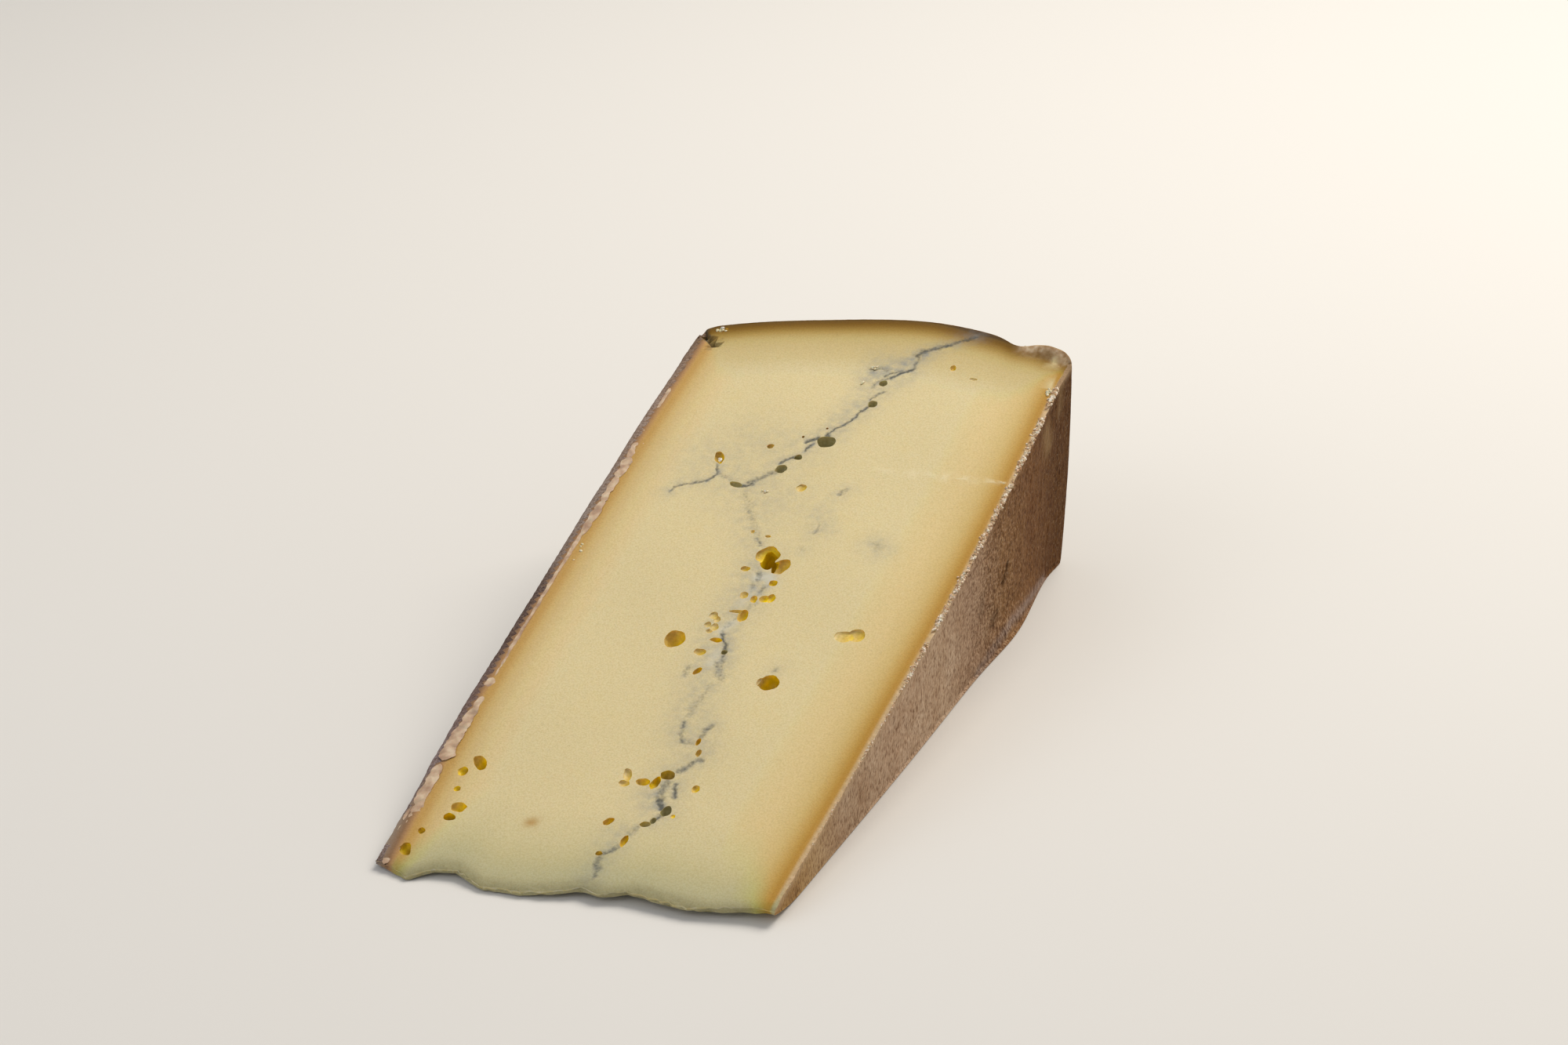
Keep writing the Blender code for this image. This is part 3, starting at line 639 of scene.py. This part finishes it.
def add_node(tree, kind, sockets=None, ramp=None, **settings):
    """Adds a node. A socket takes a value, a hex colour, the name of an attribute of the mesh,
    or another node's output to link to."""
    node = tree.nodes.new(kind)
    for name, value in settings.items():
        setattr(node, name, value)
    for key, value in (sockets or {}).items():
        if isinstance(value, str) and not value.startswith("#"):
            value = add_node(tree, "ShaderNodeAttribute", attribute_name=value).outputs["Fac"]
        if isinstance(value, bpy.types.NodeSocket):
            tree.links.new(value, node.inputs[key])
        else:
            node.inputs[key].default_value = linear(value) if isinstance(value, str) else value
    for number, (place, code) in enumerate(ramp or []):
        stops = node.color_ramp.elements
        stop = stops[number] if number < len(stops) else stops.new(place)
        stop.position, stop.color = place, linear(code)
    return node


def new_material(name, sockets):
    """A node material whose Principled shader has these numbers, and its node tree."""
    material = bpy.data.materials.new(name)
    material.use_nodes = True
    shader = material.node_tree.nodes["Principled BSDF"]
    for key, value in sockets.items():
        shader.inputs[key].default_value = linear(value) if isinstance(value, str) else value
    return material, material.node_tree


def paint_over(tree, colour, layers):
    """Lays layers over a colour: each has its blend, how much of it shows, and its own colour."""
    for blend, much, over in layers:
        sockets = {0: much, 6: colour, 7: over}  # the mix node's numbers for its colour sockets
        node = add_node(tree, "ShaderNodeMix", sockets, data_type="RGBA", blend_type=blend)
        colour = node.outputs[2]
    return colour


def noise_colour(tree, size, ramp=(), detail=4.0, stretch=(1, 1, 1)):
    """Noise whose lumps are about size mm across, as the ramp's colours, and bare."""
    coordinates = add_node(tree, "ShaderNodeTexCoord").outputs["Object"]
    scale = [1 / (size * MM * part) for part in stretch]
    scaled = add_node(tree, "ShaderNodeMapping", {"Vector": coordinates, "Scale": scale})
    sockets = {"Vector": scaled.outputs[0], "Scale": 1.0, "Detail": detail}
    bare = add_node(tree, "ShaderNodeTexNoise", sockets).outputs[0]
    return add_node(tree, "ShaderNodeValToRGB", {0: bare}, ramp).outputs[0], bare


def colour_and_relief(tree, colour, height, strength, deep):
    """Gives a material its colour, and relief made from the height, this many mm deep."""
    shader = tree.nodes["Principled BSDF"]
    sockets = {"Height": height, "Strength": strength, "Distance": deep * MM}
    bump = add_node(tree, "ShaderNodeBump", sockets)
    tree.links.new(colour, shader.inputs["Base Color"])
    tree.links.new(bump.outputs[0], shader.inputs["Normal"])


# %% [markdown]
# ### Ivory paste
#
# Pressed curd is a fat-rich solid: satin rather than glossy, with a little light passing through
# it, so its shadows stay warm. Under the rind the paste ripens, from ivory through straw to amber,
# over about a centimetre. The first three ramps below are that ripening as seen from one side; the
# tip has no rind, and its ramp is painted shade, darker and greyer towards the broken edge. Where
# two meet the darker one wins. The attributes hold distances as shares of 20 mm, so 0.5 is 10 mm
# in.

# %% The ripened paste, and painted shade at the tip
RIPENING_AND_TIP_SHADE = {
    "right": [
        (0.0, "#C0A17A"), (0.03, "#C3A880"), (0.045, "#BC9962"), (0.06, "#B38839"),
        (0.09, "#B38838"), (0.125, "#BA9448"), (0.175, "#C4A25D"), (0.25, "#CDB274"),
        (0.325, "#D2B97F"), (0.45, "#D8C18B"), (0.7, "#DBC693"), (1.0, "#E4D4AA"),
    ],
    "left": [
        (0.0, "#928679"), (0.12, "#88694D"), (0.145, "#9E7954"), (0.17, "#B28A59"),
        (0.195, "#BC9657"), (0.225, "#BD9754"), (0.26, "#C29F60"), (0.31, "#CAAE73"),
        (0.375, "#CEB580"), (0.475, "#D5C18D"), (0.6, "#DAC595"), (1.0, "#E4D4AA"),
    ],
    "heel": [
        (0.0, "#4F370D"), (0.03, "#6D4F12"), (0.05, "#72500D"), (0.075, "#7B590D"),
        (0.1, "#86641F"), (0.15, "#9A7C37"), (0.2, "#AE9251"), (0.25, "#B9A266"),
        (0.3, "#C0AC73"), (0.4, "#C6B27E"), (0.6, "#CCBA88"), (1.0, "#DCCFA7"),
    ],
    # painted shade: the tip has no rind, and this ramp paints it darker and greyer towards its
    # broken edge
    "tip": [
        (0.0, "#A59E78"), (0.05, "#A8A17B"), (0.075, "#AAA37D"), (0.1, "#AEA781"),
        (0.15, "#B6AF88"), (0.2, "#BAB38B"), (0.3, "#BFB68B"), (0.4, "#C6BB8E"),
        (0.6, "#CFC295"), (1.0, "#D9C99B"),
    ],
}
paste, tree = new_material(
    "ivory_semi_soft_paste",
    {
        "Roughness": 0.5,
        "IOR": 1.45,
        "Specular IOR Level": 0.2,
        "Subsurface Weight": 0.2,
        "Subsurface Radius": (1.0, 0.62, 0.28),
        "Subsurface Scale": 1.0 * MM,
    },
)
base, _ = noise_colour(tree, 11.0, [(0.3, "#DCC898"), (0.7, "#E1CEA4")])
for side, darkening in RIPENING_AND_TIP_SHADE.items():
    stain = add_node(tree, "ShaderNodeValToRGB", {0: side + "_depth"}, darkening).outputs[0]
    base = paint_over(tree, base, [("DARKEN", 1.0, stain)])
speckle, _ = noise_colour(tree, 0.3, [(0.35, "#F3F0E6"), (0.6, "#FFFFFF")])
lip, _ = noise_colour(tree, 1.3, [(0.35, "#A4845C"), (0.5, "#C0A27C"), (0.65, "#D8C2A2")])
patchy, _ = noise_colour(tree, 1.6, [(0.3, "#6E6E6E"), (0.7, "#FFFFFF")])
smoke = paint_over(tree, "smoke", [("MULTIPLY", 1.0, patchy)])
_, grains = noise_colour(tree, 0.55, detail=5.0)
thick = add_node(tree, "ShaderNodeMath", {0: grains, 1: 0.75, 2: "ash"}, operation="MULTIPLY_ADD")
growth = [(0.42, "#000000"), (0.58, "#5A5A5A"), (0.78, "#ACACAC"), (0.98, "#E6E6E6")]
mould_and_crack_shade = add_node(tree, "ShaderNodeValToRGB", {0: thick.outputs[0]}, growth).outputs[0]
paste_layers = [
    ("MULTIPLY", 1.0, speckle),
    ("MIX", "lip", lip),
    ("MIX", "cream", "#D2C08F"),
    ("MIX", "rust", "#AE8440"),
    ("MIX", smoke, "#868A8A"),
    ("MIX", "cotton", "#C8C4B2"),
    # the ash's mould, and painted shade in the crack at the left back corner
    ("MIX", mould_and_crack_shade, "#434540"),
    ("MIX", "pale", "#F0E6C6"),
]
_, curd = noise_colour(tree, 0.3)
colour_and_relief(tree, paint_over(tree, base, paste_layers), curd, 0.2, 0.1)

# %% [markdown]
# ### Washed rind
#
# The rind was rubbed with brine, and dried to a dull brown felt: tan near the tip, greyer and
# pinker half way, and dark ochre towards the heel, which saw the most hands. It has no gloss to
# speak of. What the eye gets is short pale fibres standing on a darker skin, so a noise drawn
# out upright to two and a half times its width goes over each broad colour.

# %% The felted rind
RIGHT_TONES = [
    (0.04, "#AC8446"), (0.12, "#C09E6C"), (0.22, "#C0A486"), (0.36, "#CAAE92"),
    (0.5, "#D0B69A"), (0.6, "#BC9E82"), (0.7, "#A07A50"), (0.8, "#845C36"),
    (0.9, "#6C4824"), (1.0, "#604020"),
]
LEFT_TONES = [
    (0.02, "#90827E"), (0.2, "#8E7E7C"), (0.27, "#806C66"), (0.36, "#6C5A54"),
    (0.45, "#6C5C56"), (0.52, "#8C7D74"), (0.6, "#9C8E84"), (0.8, "#A69488"),
    (0.9, "#94806F"), (0.97, "#6E5436"),
]
rind, tree = new_material("washed_felted_rind", {"Roughness": 0.85, "Specular IOR Level": 0.15})
right_tone, left_tone = (
    add_node(tree, "ShaderNodeValToRGB", {0: "out"}, tones).outputs[0]
    for tones in (RIGHT_TONES, LEFT_TONES)
)
patches, _ = noise_colour(tree, 7.0, [(0.3, "#E2D6CA"), (0.65, "#FFFFFF")])
fibres, fibre = noise_colour(
    tree, 0.4, [(0.34, "#9E8874"), (0.48, "#E8E0D8"), (0.6, "#FFFFFF")], stretch=(1, 1, 2.5)
)
grit, gritty = noise_colour(tree, 0.6, [(0.38, "#7C5E46"), (0.48, "#D8CCC0"), (0.56, "#FFFFFF")])
specks = add_node(tree, "ShaderNodeValToRGB", {0: gritty}, [(0.56, "#000000"), (0.66, "#C8C8C8")])
specks = paint_over(tree, specks.outputs[0], [("MULTIPLY", 1.0, "rough")])
bloom, _ = noise_colour(tree, 0.36, [(0.56, "#000000"), (0.72, "#8A8A8A")], stretch=(1, 1, 1.6))
rind_layers = [
    ("MIX", "left_side", left_tone),
    ("MIX", "ground", "#A8958A"),
    ("MULTIPLY", 0.8, patches),
    ("MULTIPLY", 0.8, fibres),
    # painted highlight along the rind's top edge, over its paler broken rind
    ("MIX", "rim", "#C2A47E"),
    ("MULTIPLY", "rough", grit),
    ("MIX", specks, "#D0B496"),
    ("MIX", bloom, "#D2B48E"),
    ("MIX", "pale", "#A08258"),
    # dark stains on the rind, and painted shade inside its two slits
    ("MIX", "stain", "#3A2410"),
]
colour_and_relief(tree, paint_over(tree, right_tone, rind_layers), fibre, 0.9, 0.3)

# %% [markdown]
# ### Eye skin
#
# A bubble's wall set against gas and stayed moist, so it is smoother and shinier than the cut
# paste, and yellower: light bounces about inside and takes up colour each time. The tone given to
# each eye chooses between straw and dark olive. The floor of an eye is painted darker than its rim,
# as painted shade, and its left wall lighter and its right wall darker, as painted light and shade.
# Eyes that the ash runs through have greyer walls, where the mould has settled on them.

# %% The eye skin
skin, tree = new_material(
    "moist_eye_skin",
    {
        "Roughness": 0.38,
        "Specular IOR Level": 0.15,
        "Subsurface Weight": 0.35,
        "Subsurface Radius": (1.0, 0.7, 0.2),
        "Subsurface Scale": 1.2 * MM,
    },
)
clean, mouldy = (
    add_node(tree, "ShaderNodeValToRGB", {0: "eye_tone"}, tones).outputs[0]
    for tones in (
        [(0.0, "#DECB96"), (0.3, "#DFBF66"), (0.5, "#F6D414"), (0.75, "#C09A08"), (1.0, "#4C3A02")],
        [(0.0, "#DCD2A6"), (0.5, "#C6BA88"), (1.0, "#A49C6E")],
    )
)
spots, spot = noise_colour(tree, 0.7, [(0.3, "#DCD8C0"), (0.65, "#FFFFFF")])
tone = paint_over(tree, clean, [("MIX", "greyed", mouldy), ("MULTIPLY", 0.8, spots)])
colour_and_relief(tree, tone, spot, 0.5, 0.15)

# %% [markdown]
# ## The body
#
# The block's faces are shared out between paste and rind before the cut, by the outer surface
# they lie on. The left rind also turns over onto the cut face, because the knife dragged it, and
# so does the right back corner. After the cut, each vertex is told how deep it lies under each
# rind, how much ash is on it, and so on. Those numbers are what the ramps above read.

# %% Cutting the eyes out
body_solid = add_object("cheese_wedge_solid", block, paste, rind, skin)
cutters = []
for crowd in crowds:
    cutter = add_object("eye_balls", eye_balls(crowd), paste, rind, skin)
    cutter.data.polygons.foreach_set("material_index", [EYE_SKIN] * len(cutter.data.polygons))
    cut = body_solid.modifiers.new("eyes", "BOOLEAN")
    cut.operation, cut.solver, cut.object = "DIFFERENCE", "MANIFOLD", cutter
    cutters.append(cutter)

evaluated = body_solid.evaluated_get(bpy.context.evaluated_depsgraph_get())
body = show("cheese_wedge_body", bpy.data.meshes.new_from_object(evaluated))
for thing in (body_solid, *cutters):
    bpy.data.objects.remove(thing)
body.data.shade_smooth()
body.data.set_sharp_from_angle(angle=math.radians(42))
print("the body has", len(body.data.polygons), "faces after the cut")


# %% Dressing the body
def vertex_places(mesh):
    """Where a mesh's vertices are, a row for each."""
    places = np.empty(len(mesh.vertices) * 3)
    mesh.vertices.foreach_get("co", places)
    return places.reshape(-1, 3)


def write_attributes(mesh, **values_by_name):
    """One number per vertex under each name, kept between 0 and 1."""
    for name, values in values_by_name.items():
        layer = mesh.attributes.new(name, "FLOAT", "POINT")
        layer.data.foreach_set("value", np.clip(values, 0, 1).astype(np.float32))


RAMP_REACH, RIM_DEPTH = 20 * MM, 1.3 * MM
HEEL_RIND = [(1.0, 21.0, 5.0), (1.1, 34.5, 4.0), (-0.8, 29.3, 3.2)]  # more mm of rind at x
# strokes on the cut face at x and r, and on the right side at mm from the axis and mm up
LIP = [(1.0, 1.8, [(30.2, 160.9), (33.0, 161.0), (36.2, 160.2), (38.0, 158.4)])]
CREAM = [(0.9, 0.55, [(36.2, 158.2), (37.0, 155.0), (37.8, 150.0)])]
# painted shade: the crack at the left back corner is painted dark with the mould's colour
PAINTED_CRACK_SHADE = [(1.0, 0.9, CRACK)]
PALE_RIND = [(0.5, 2.4, [(139.0, 34.5), (141.5, 31.0)]), (0.35, 1.4, [(146.0, 44.0), (147, 36)])]
DARK_RIND = [(0.35, 2.2, [(104.5, 14.6), (104.7, 13.4)]), (0.4, 1.3, [(112, 8), (114, 6.5)])]
GROUND_STRIP = [(0.8, 1.1, [(104, 0.4), (113, 1.6), (123, 2.4), (134, 1.6), (147, 0.4)])]

places = vertex_places(body.data)
x, r, depth = on_the_cut(places)
side_y, side_z = places[:, 1] - axis_y, places[:, 2]
near_top = closeness(depth - 1.0 * MM, 2 * MM)
on_right_side = (x > 30 * MM) & (depth > 0.5 * MM)
from_eye, which = eye_distance(x, r)
from_ash = np.min([line_distance(eye_xs, eye_rs, line) for *_, line in ASH], axis=0)
reached = np.clip(2.3 - from_ash / MM, 0, 1) * np.clip(5 * eye_tones - 3.5, 0, 1)
# painted light and shade: each eye's left wall is lighter, its right wall darker, and its floor
# darker than its rim
painted_light_side = np.clip((x - eye_xs[which]) / (eye_widths[which] / 2), -1, 1)
painted_floor_shade = np.clip(depth / np.maximum(eye_depths[which], 1e-6), 0, 1)
extra_rind = sum(more * hill(x, middle * MM, reach * MM) for more, middle, reach in HEEL_RIND)
smoke = strongest(x, r, HAZE)
for strength, spread in SMOKE:
    smoke = np.maximum(smoke, strength * strongest(x, r, ASH, spread))
pale_scar = 0.45 * fade(line_distance(x, r, SCAR), SCAR_WIDTH) * np.clip(x / (40 * MM), 0, 1)
# the dark stains, and painted shade along the two slits
rind_stains_and_slit_shade = strongest(side_y, side_z, DARK_RIND + [(1.0, 1.8 * width, line) for width, line in SLITS])
write_attributes(
    body.data,
    right_depth=(half_height(1, r) - x) / RAMP_REACH,
    left_depth=(x + half_height(-1, r)) / RAMP_REACH,
    heel_depth=(heel_radius(x) - r - extra_rind * MM) / RAMP_REACH,
    # painted shade at the broken tip, read by the tip ramp
    tip_depth=(r - tip_radius(x)) / RAMP_REACH,
    out=r / WHEEL_RADIUS,
    left_side=(8 * MM - x) / (8 * MM),
    rough=0.6 * hill(r, ROUGH_R, ROUGH_REACH) * on_right_side,
    # a painted highlight along the top edge of the rind, partly its paler broken rind
    rim=0.6 * fade(depth, RIM_DEPTH) * (x > 0),
    ground=strongest(side_y, side_z, GROUND_STRIP) * on_right_side,
    # the ash's mould, with painted shade along the crack
    ash=0.64 * near_top * strongest(*frayed(x, r, places), ASH + PAINTED_CRACK_SHADE, ASH_SPREAD),
    smoke=near_top * smoke,
    cotton=near_top * strongest(x, r, COTTON),
    lip=0.9 * near_top * strongest(x, r, LIP),
    cream=near_top * strongest(x, r, CREAM),
    rust=near_top * strongest(x, r, RUST),
    pale=np.where(on_right_side, strongest(side_y, side_z, PALE_RIND), near_top * pale_scar),
    # dark stains, and painted shade in the slits
    stain=rind_stains_and_slit_shade * on_right_side,
    # painted shade towards each eye's floor and on its right wall, painted light on its left wall
    eye_tone=eye_tones[which] * (0.6 + 0.4 * painted_floor_shade) + 0.18 * painted_light_side,
    greyed=reached[which],
)


def dress(thing):
    """Says what a piece belongs to: the wedge's own body."""
    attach(thing, "root")


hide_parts("cheese_wedge")
dress(body)

# %% [markdown]
# ## What clings to the wedge
#
# Four kinds of small pieces lie on it. The dry rind crumbled along the right edge when the knife
# came through, and left a line of grains. On the left the knife dragged the rind inwards and tore
# it into flat flakes. A few crumbs of paste stick about the ash, and beads of whey shine in the
# moist eyes. All are real pieces with their own surfaces, and a grain has only twenty faces.


# %% Grains along the right edge
def add_grains(name, grains, material, roundness=0.25):
    """Lumpy grains, each with its place (x, r, depth, lift), its three half sizes and its turn."""
    mesh = bmesh.new()
    for number, (place, size, turn) in enumerate(grains):
        verts = bmesh.ops.create_icosphere(mesh, subdivisions=1, radius=1.0)["verts"]
        for vert in verts:
            vert.co *= 1 + roundness * noise.noise(vert.co * 1.7 + Vector((number * 0.7, 3, 5)))
        shape = Matrix.Rotation(turn, 4, (0.3, 0.2, 1)) @ Matrix.Diagonal((*size, 1))
        laid = Matrix.Translation(world_point(*place)) @ Matrix.Rotation(WEDGE_ANGLE, 4, "X")
        bmesh.ops.transform(mesh, matrix=laid @ shape, verts=verts)
    thing = add_object(name, mesh, material)
    thing.data.shade_smooth()
    dress(thing)
    print(name, "has", len(grains), "grains and", len(thing.data.polygons), "faces")


def granular_material(name, ramp, size, roughness, relief=0.4):
    """A dull crumbly solid whose grains differ a little in colour."""
    sockets = {"Roughness": roughness, "Subsurface Weight": 0.15, "Subsurface Scale": 0.5 * MM}
    material, tree = new_material(name, sockets)
    colour, bare = noise_colour(tree, size, ramp)
    colour_and_relief(tree, colour, bare, relief, 0.1)
    return material


crumb_material = granular_material(
    "dry_rind_crumb", [(0.34, "#A67E54"), (0.48, "#CBAE8A"), (0.64, "#EEDFCB")], 0.8, 0.75
)
dice = random.Random(7)
EDGE_GRAINS, FIRST_R, LAST_R = 1600, 12, 150
grains = []
while len(grains) < EDGE_GRAINS:
    r = (FIRST_R + (LAST_R - FIRST_R) * dice.random() ** 0.6) * MM
    if noise.noise(Vector((r / (5 * MM), 0, 7))) + 0.35 < 0.7 * dice.random():
        continue  # the crumbs lie in clumps
    fine = min(1.0, max(0.4, r / (95 * MM)))  # and are finer towards the tip
    away = dice.gauss(0.3, 0.26) * MM * fine
    x = float(half_height(1, r)) - max(away, -0.1 * MM)
    size = dice.uniform(0.1, 0.25) * MM * fine
    lift = dice.uniform(-0.1, 0.16) * MM * fine
    stretch = (size * dice.uniform(0.8, 1.3), size * dice.uniform(0.8, 1.9), size * 0.8)
    grains.append(((x, r, 0.0, lift), stretch, dice.uniform(-0.9, 0.9)))
add_grains("rind_crumbs", grains, crumb_material)

# %% [markdown]
# The flakes on the left are strips of rind under a tenth of a millimetre thick, bent over the
# shoulder. Each line gives how far it runs along r and across x. It starts as a flat grid, which
# is laid on the shoulder with its long sides scalloped by noise, and `solidify` thickens it.

# %% Torn flakes on the left
FLAKES = [
    (4.2, 12.8, -35.1, -33.0), (11.2, 20.4, -35.4, -33.3), (18.4, 28.8, -35.8, -33.8),
    (29.6, 38.8, -36.1, -33.5), (37.4, 43.2, -35.8, -33.7), (41.6, 46.4, -35.2, -33.9),
    (48.8, 51.3, -35.6, -33.8), (51.6, 58.4, -34.9, -34.3), (57.8, 66.4, -35.1, -34.3),
    (65.2, 73.6, -35.0, -34.4), (72.8, 81.0, -35.1, -34.4), (80.2, 93.0, -35.0, -34.2),
    (91.0, 96.5, -35.0, -33.8), (95.0, 101.5, -35.1, -33.4), (100.8, 109.0, -35.1, -33.5),
    (108.3, 114.6, -35.1, -33.4), (113.8, 121.6, -35.2, -33.8), (118.2, 119.4, -34.0, -31.9),
    (121.0, 129.0, -35.0, -34.2), (128.2, 136.2, -34.9, -34.1),
]
FLAKE_THICKNESS, FLAKE_STEP, FLAKE_COLUMNS = 0.08 * MM, 0.35, 6


def shoulder_depth(x, r):
    """How far the rounded left shoulder has dropped below the cut face at x."""
    radius = np.minimum(SHOULDER, SHOULDER_SHARE * r * WEDGE_ANGLE)
    out = np.clip(radius - (x + half_height(-1, r)), 0, radius)
    return radius - np.sqrt(radius**2 - out**2)


flakes = bmesh.new()
for r_near, r_far, x_out, x_in in FLAKES:
    rows = int((r_far - r_near) / FLAKE_STEP) + 2
    across, along = np.meshgrid(np.linspace(0, 1, FLAKE_COLUMNS), np.linspace(0, 1, rows))
    across, along = across.ravel(), along.ravel()
    r = (r_near + (r_far - r_near) * along) * MM
    middle, half = (x_out + x_in) / 2 * MM, (x_in - x_out) / 2 * MM
    taper = np.clip(1 - (2 * along - 1) ** 6, 0, 1) ** 0.7
    spot = np.stack([np.sign(across - 0.5) * 9 * MM, r, r * 0], axis=1)
    scallop = 1 + 0.6 * grain(spot, 1.9, 71) + 0.25 * grain(spot, 0.7, 72)
    x = middle + (2 * across - 1) * half * taper * scallop
    ripple = grain(np.stack([x, r, x * 0], axis=1), 1.1, 73)
    curl = 0.06 * (1 - (2 * across - 1) ** 2) + 0.07 * ripple
    points = in_the_world(x, r, shoulder_depth(x, r), (0.05 + curl * taper) * MM)
    verts = [flakes.verts.new(point) for point in np.clip(points, low, high)]
    for row in range(rows - 1):
        for column in range(FLAKE_COLUMNS - 1):
            first = row * FLAKE_COLUMNS + column
            corners = (first, first + 1, first + FLAKE_COLUMNS + 1, first + FLAKE_COLUMNS)
            flakes.faces.new([verts[corner] for corner in corners])
    bmesh.ops.remove_doubles(flakes, verts=verts, dist=0.01 * MM)
bmesh.ops.solidify(flakes, geom=flakes.faces[:], thickness=FLAKE_THICKNESS)
bmesh.ops.recalc_face_normals(flakes, faces=flakes.faces[:])
flake_material = granular_material(
    "torn_dry_rind", [(0.32, "#A2836A"), (0.5, "#BFA184"), (0.68, "#D4BC9E")], 1.9, 0.85, 0.15
)
torn = add_object("torn_rind_flakes", flakes, flake_material)
torn.data.shade_smooth()
torn.data.set_sharp_from_angle(angle=math.radians(50))
dress(torn)
print("the flakes have", len(torn.data.polygons), "faces")

# %% [markdown]
# Crumbs of paste stick where the ash kept the two curds apart, and beside the moist pocket.
# A bead of whey is cloudy and very smooth, and its milky white colour is a painted glint, which
# stands in for a lamp's highlight on the wet eye.

# %% Paste crumbs and whey
CRUMBLY_PLACES = [  # x, r, how far they spread across and along, and how many
    (3.2, 149.9, 1.4, 0.8, 7), (1.8, 144.8, 0.7, 0.5, 3),
    (-5.4, 110.0, 0.5, 0.7, 3), (31.5, 161.2, 2.2, 0.6, 14), (-31.4, 156.2, 0.9, 0.7, 10),
    (37.9, 148.6, 0.4, 1.2, 14), (-33.0, 85.0, 0.6, 8.0, 6), (37.7, 120.9, 0.5, 0.2, 4),
]
grains = []
for x, r, side_spread, out_spread, count in CRUMBLY_PLACES:
    for _ in range(count):
        place = (x + dice.gauss(0, side_spread * 0.5), r + dice.gauss(0, out_spread * 0.5))
        size = dice.uniform(0.12, 0.34) * MM
        shape = (size * dice.uniform(0.9, 1.6), size * dice.uniform(0.9, 1.6), size * 0.5)
        flat_place = (place[0] * MM, place[1] * MM, 0.0, dice.uniform(-0.12, 0.02) * MM)
        grains.append((flat_place, shape, dice.uniform(-1.5, 1.5)))
paste_crumb = granular_material(
    "broken_paste_crumb", [(0.3, "#C6BB92"), (0.5, "#D8CCA6"), (0.7, "#E8DFC4")], 1.0, 0.55
)
add_grains("paste_crumbs", grains, paste_crumb)

# painted glint: a white base colour that shows where a lamp's highlight would fall on the moist
# eyes
whey, _ = new_material(
    "whey_with_painted_glint",
    {"Base Color": "#FDFAF0", "Roughness": 0.06, "IOR": 1.34, "Transmission Weight": 0.4},
)
BEADS = [  # x, r, width, length, and how far the bead stands out of the cut face
    (-16.8, 117.2, 0.36, 0.65, -0.1), (-17.4, 118.0, 0.3, 0.4, -0.6), (-31.3, 156.3, 0.5, 0.4, 0.1),
    (-5.2, 110.1, 0.2, 0.3, -0.1), (-1.3, 73.4, 0.16, 0.22, -0.3),
]
beads = [
    ((x * MM, r * MM, 0.0, lift * MM), (wide * MM, long * MM, 0.25 * MM), 0.0)
    for x, r, wide, long, lift in BEADS
]
add_grains("whey_glint_beads", beads, whey, roundness=0.05)

# %% [markdown]
# ## Floor, light and camera
#
# The wedge lies on a plain pale floor. A broad soft lamp behind it and to its right gives the
# satin on the cut face and leaves the near side of every eye in shade, a weak one in front opens
# the shadows, and the sky does the rest.

# %% The floor
FLOOR_REACH, FLOOR_GAP = 3.0, 0.2 * MM
floor_mesh = bmesh.new()
bmesh.ops.create_grid(floor_mesh, x_segments=1, y_segments=1, size=FLOOR_REACH)
bmesh.ops.translate(floor_mesh, verts=floor_mesh.verts[:], vec=(0, 0, low.z - FLOOR_GAP))
pale, _ = new_material("pale_matt_floor", {"Base Color": "#D9D6D0", "Roughness": 0.9})
floor = add_object("pale_floor", floor_mesh, pale)

# %% The light
wedge_middle = (low + high) / 2


def add_lamp(name, offset, size, power, colour):
    """A square soft lamp, placed from the wedge's middle and aimed at it."""
    lamp = bpy.data.lights.new(name, "AREA")
    lamp.size, lamp.energy, lamp.color = size, power, linear(colour)[:3]
    thing = show(name, lamp)
    thing.location = wedge_middle + Vector(offset)
    thing.rotation_euler = (-Vector(offset)).to_track_quat("-Z", "Y").to_euler()


add_lamp("key_lamp", (0.25, 0.55, 0.75), 0.6, 9.0, "#FFF8EE")
add_lamp("fill_lamp", (-0.5, -0.7, 0.5), 0.8, 2.2, "#F6F6FC")
world = bpy.data.worlds.new("studio")
world.use_nodes = True
sky = world.node_tree.nodes["Background"].inputs
sky["Color"].default_value, sky["Strength"].default_value = linear("#F2F4F8"), 0.45
bpy.context.scene.world = world
bpy.context.scene.view_settings.view_transform = "Standard"

# %% [markdown]
# The camera looks down at the wedge from the front and a little from the right, through a longish
# lens that keeps its edges from running together. It aims at a place on the cut face just above
# the wheel's mid-line, and is set by its distance and three angles.

# %% The camera
AIM_X, AIM_R = 1.55 * MM, 102.08 * MM
CAMERA_DISTANCE = 643.8 * MM
CAMERA_TURN, CAMERA_TILT, CAMERA_ROLL = (math.radians(a) for a in (22.033, 24.0, -1.648))

FOCAL_LENGTH, SENSOR_WIDTH = 81.0, 36.0  # in the camera's own millimetres

lens = bpy.data.cameras.new("camera")
lens.lens, lens.sensor_width, lens.clip_start = FOCAL_LENGTH, SENSOR_WIDTH, 10 * MM
camera = show("camera", lens)
aim = world_point(AIM_X, AIM_R)
turned = Matrix.Rotation(CAMERA_TURN, 4, "Z") @ Matrix.Rotation(math.pi / 2 - CAMERA_TILT, 4, "X")
turned = turned @ Matrix.Rotation(CAMERA_ROLL, 4, "Z")
camera.matrix_world = Matrix.Translation(aim) @ turned @ Matrix.Translation((0, 0, CAMERA_DISTANCE))
bpy.context.scene.camera = camera
print("the camera stands at", [round(c * 1000) for c in camera.matrix_world.translation], "mm")
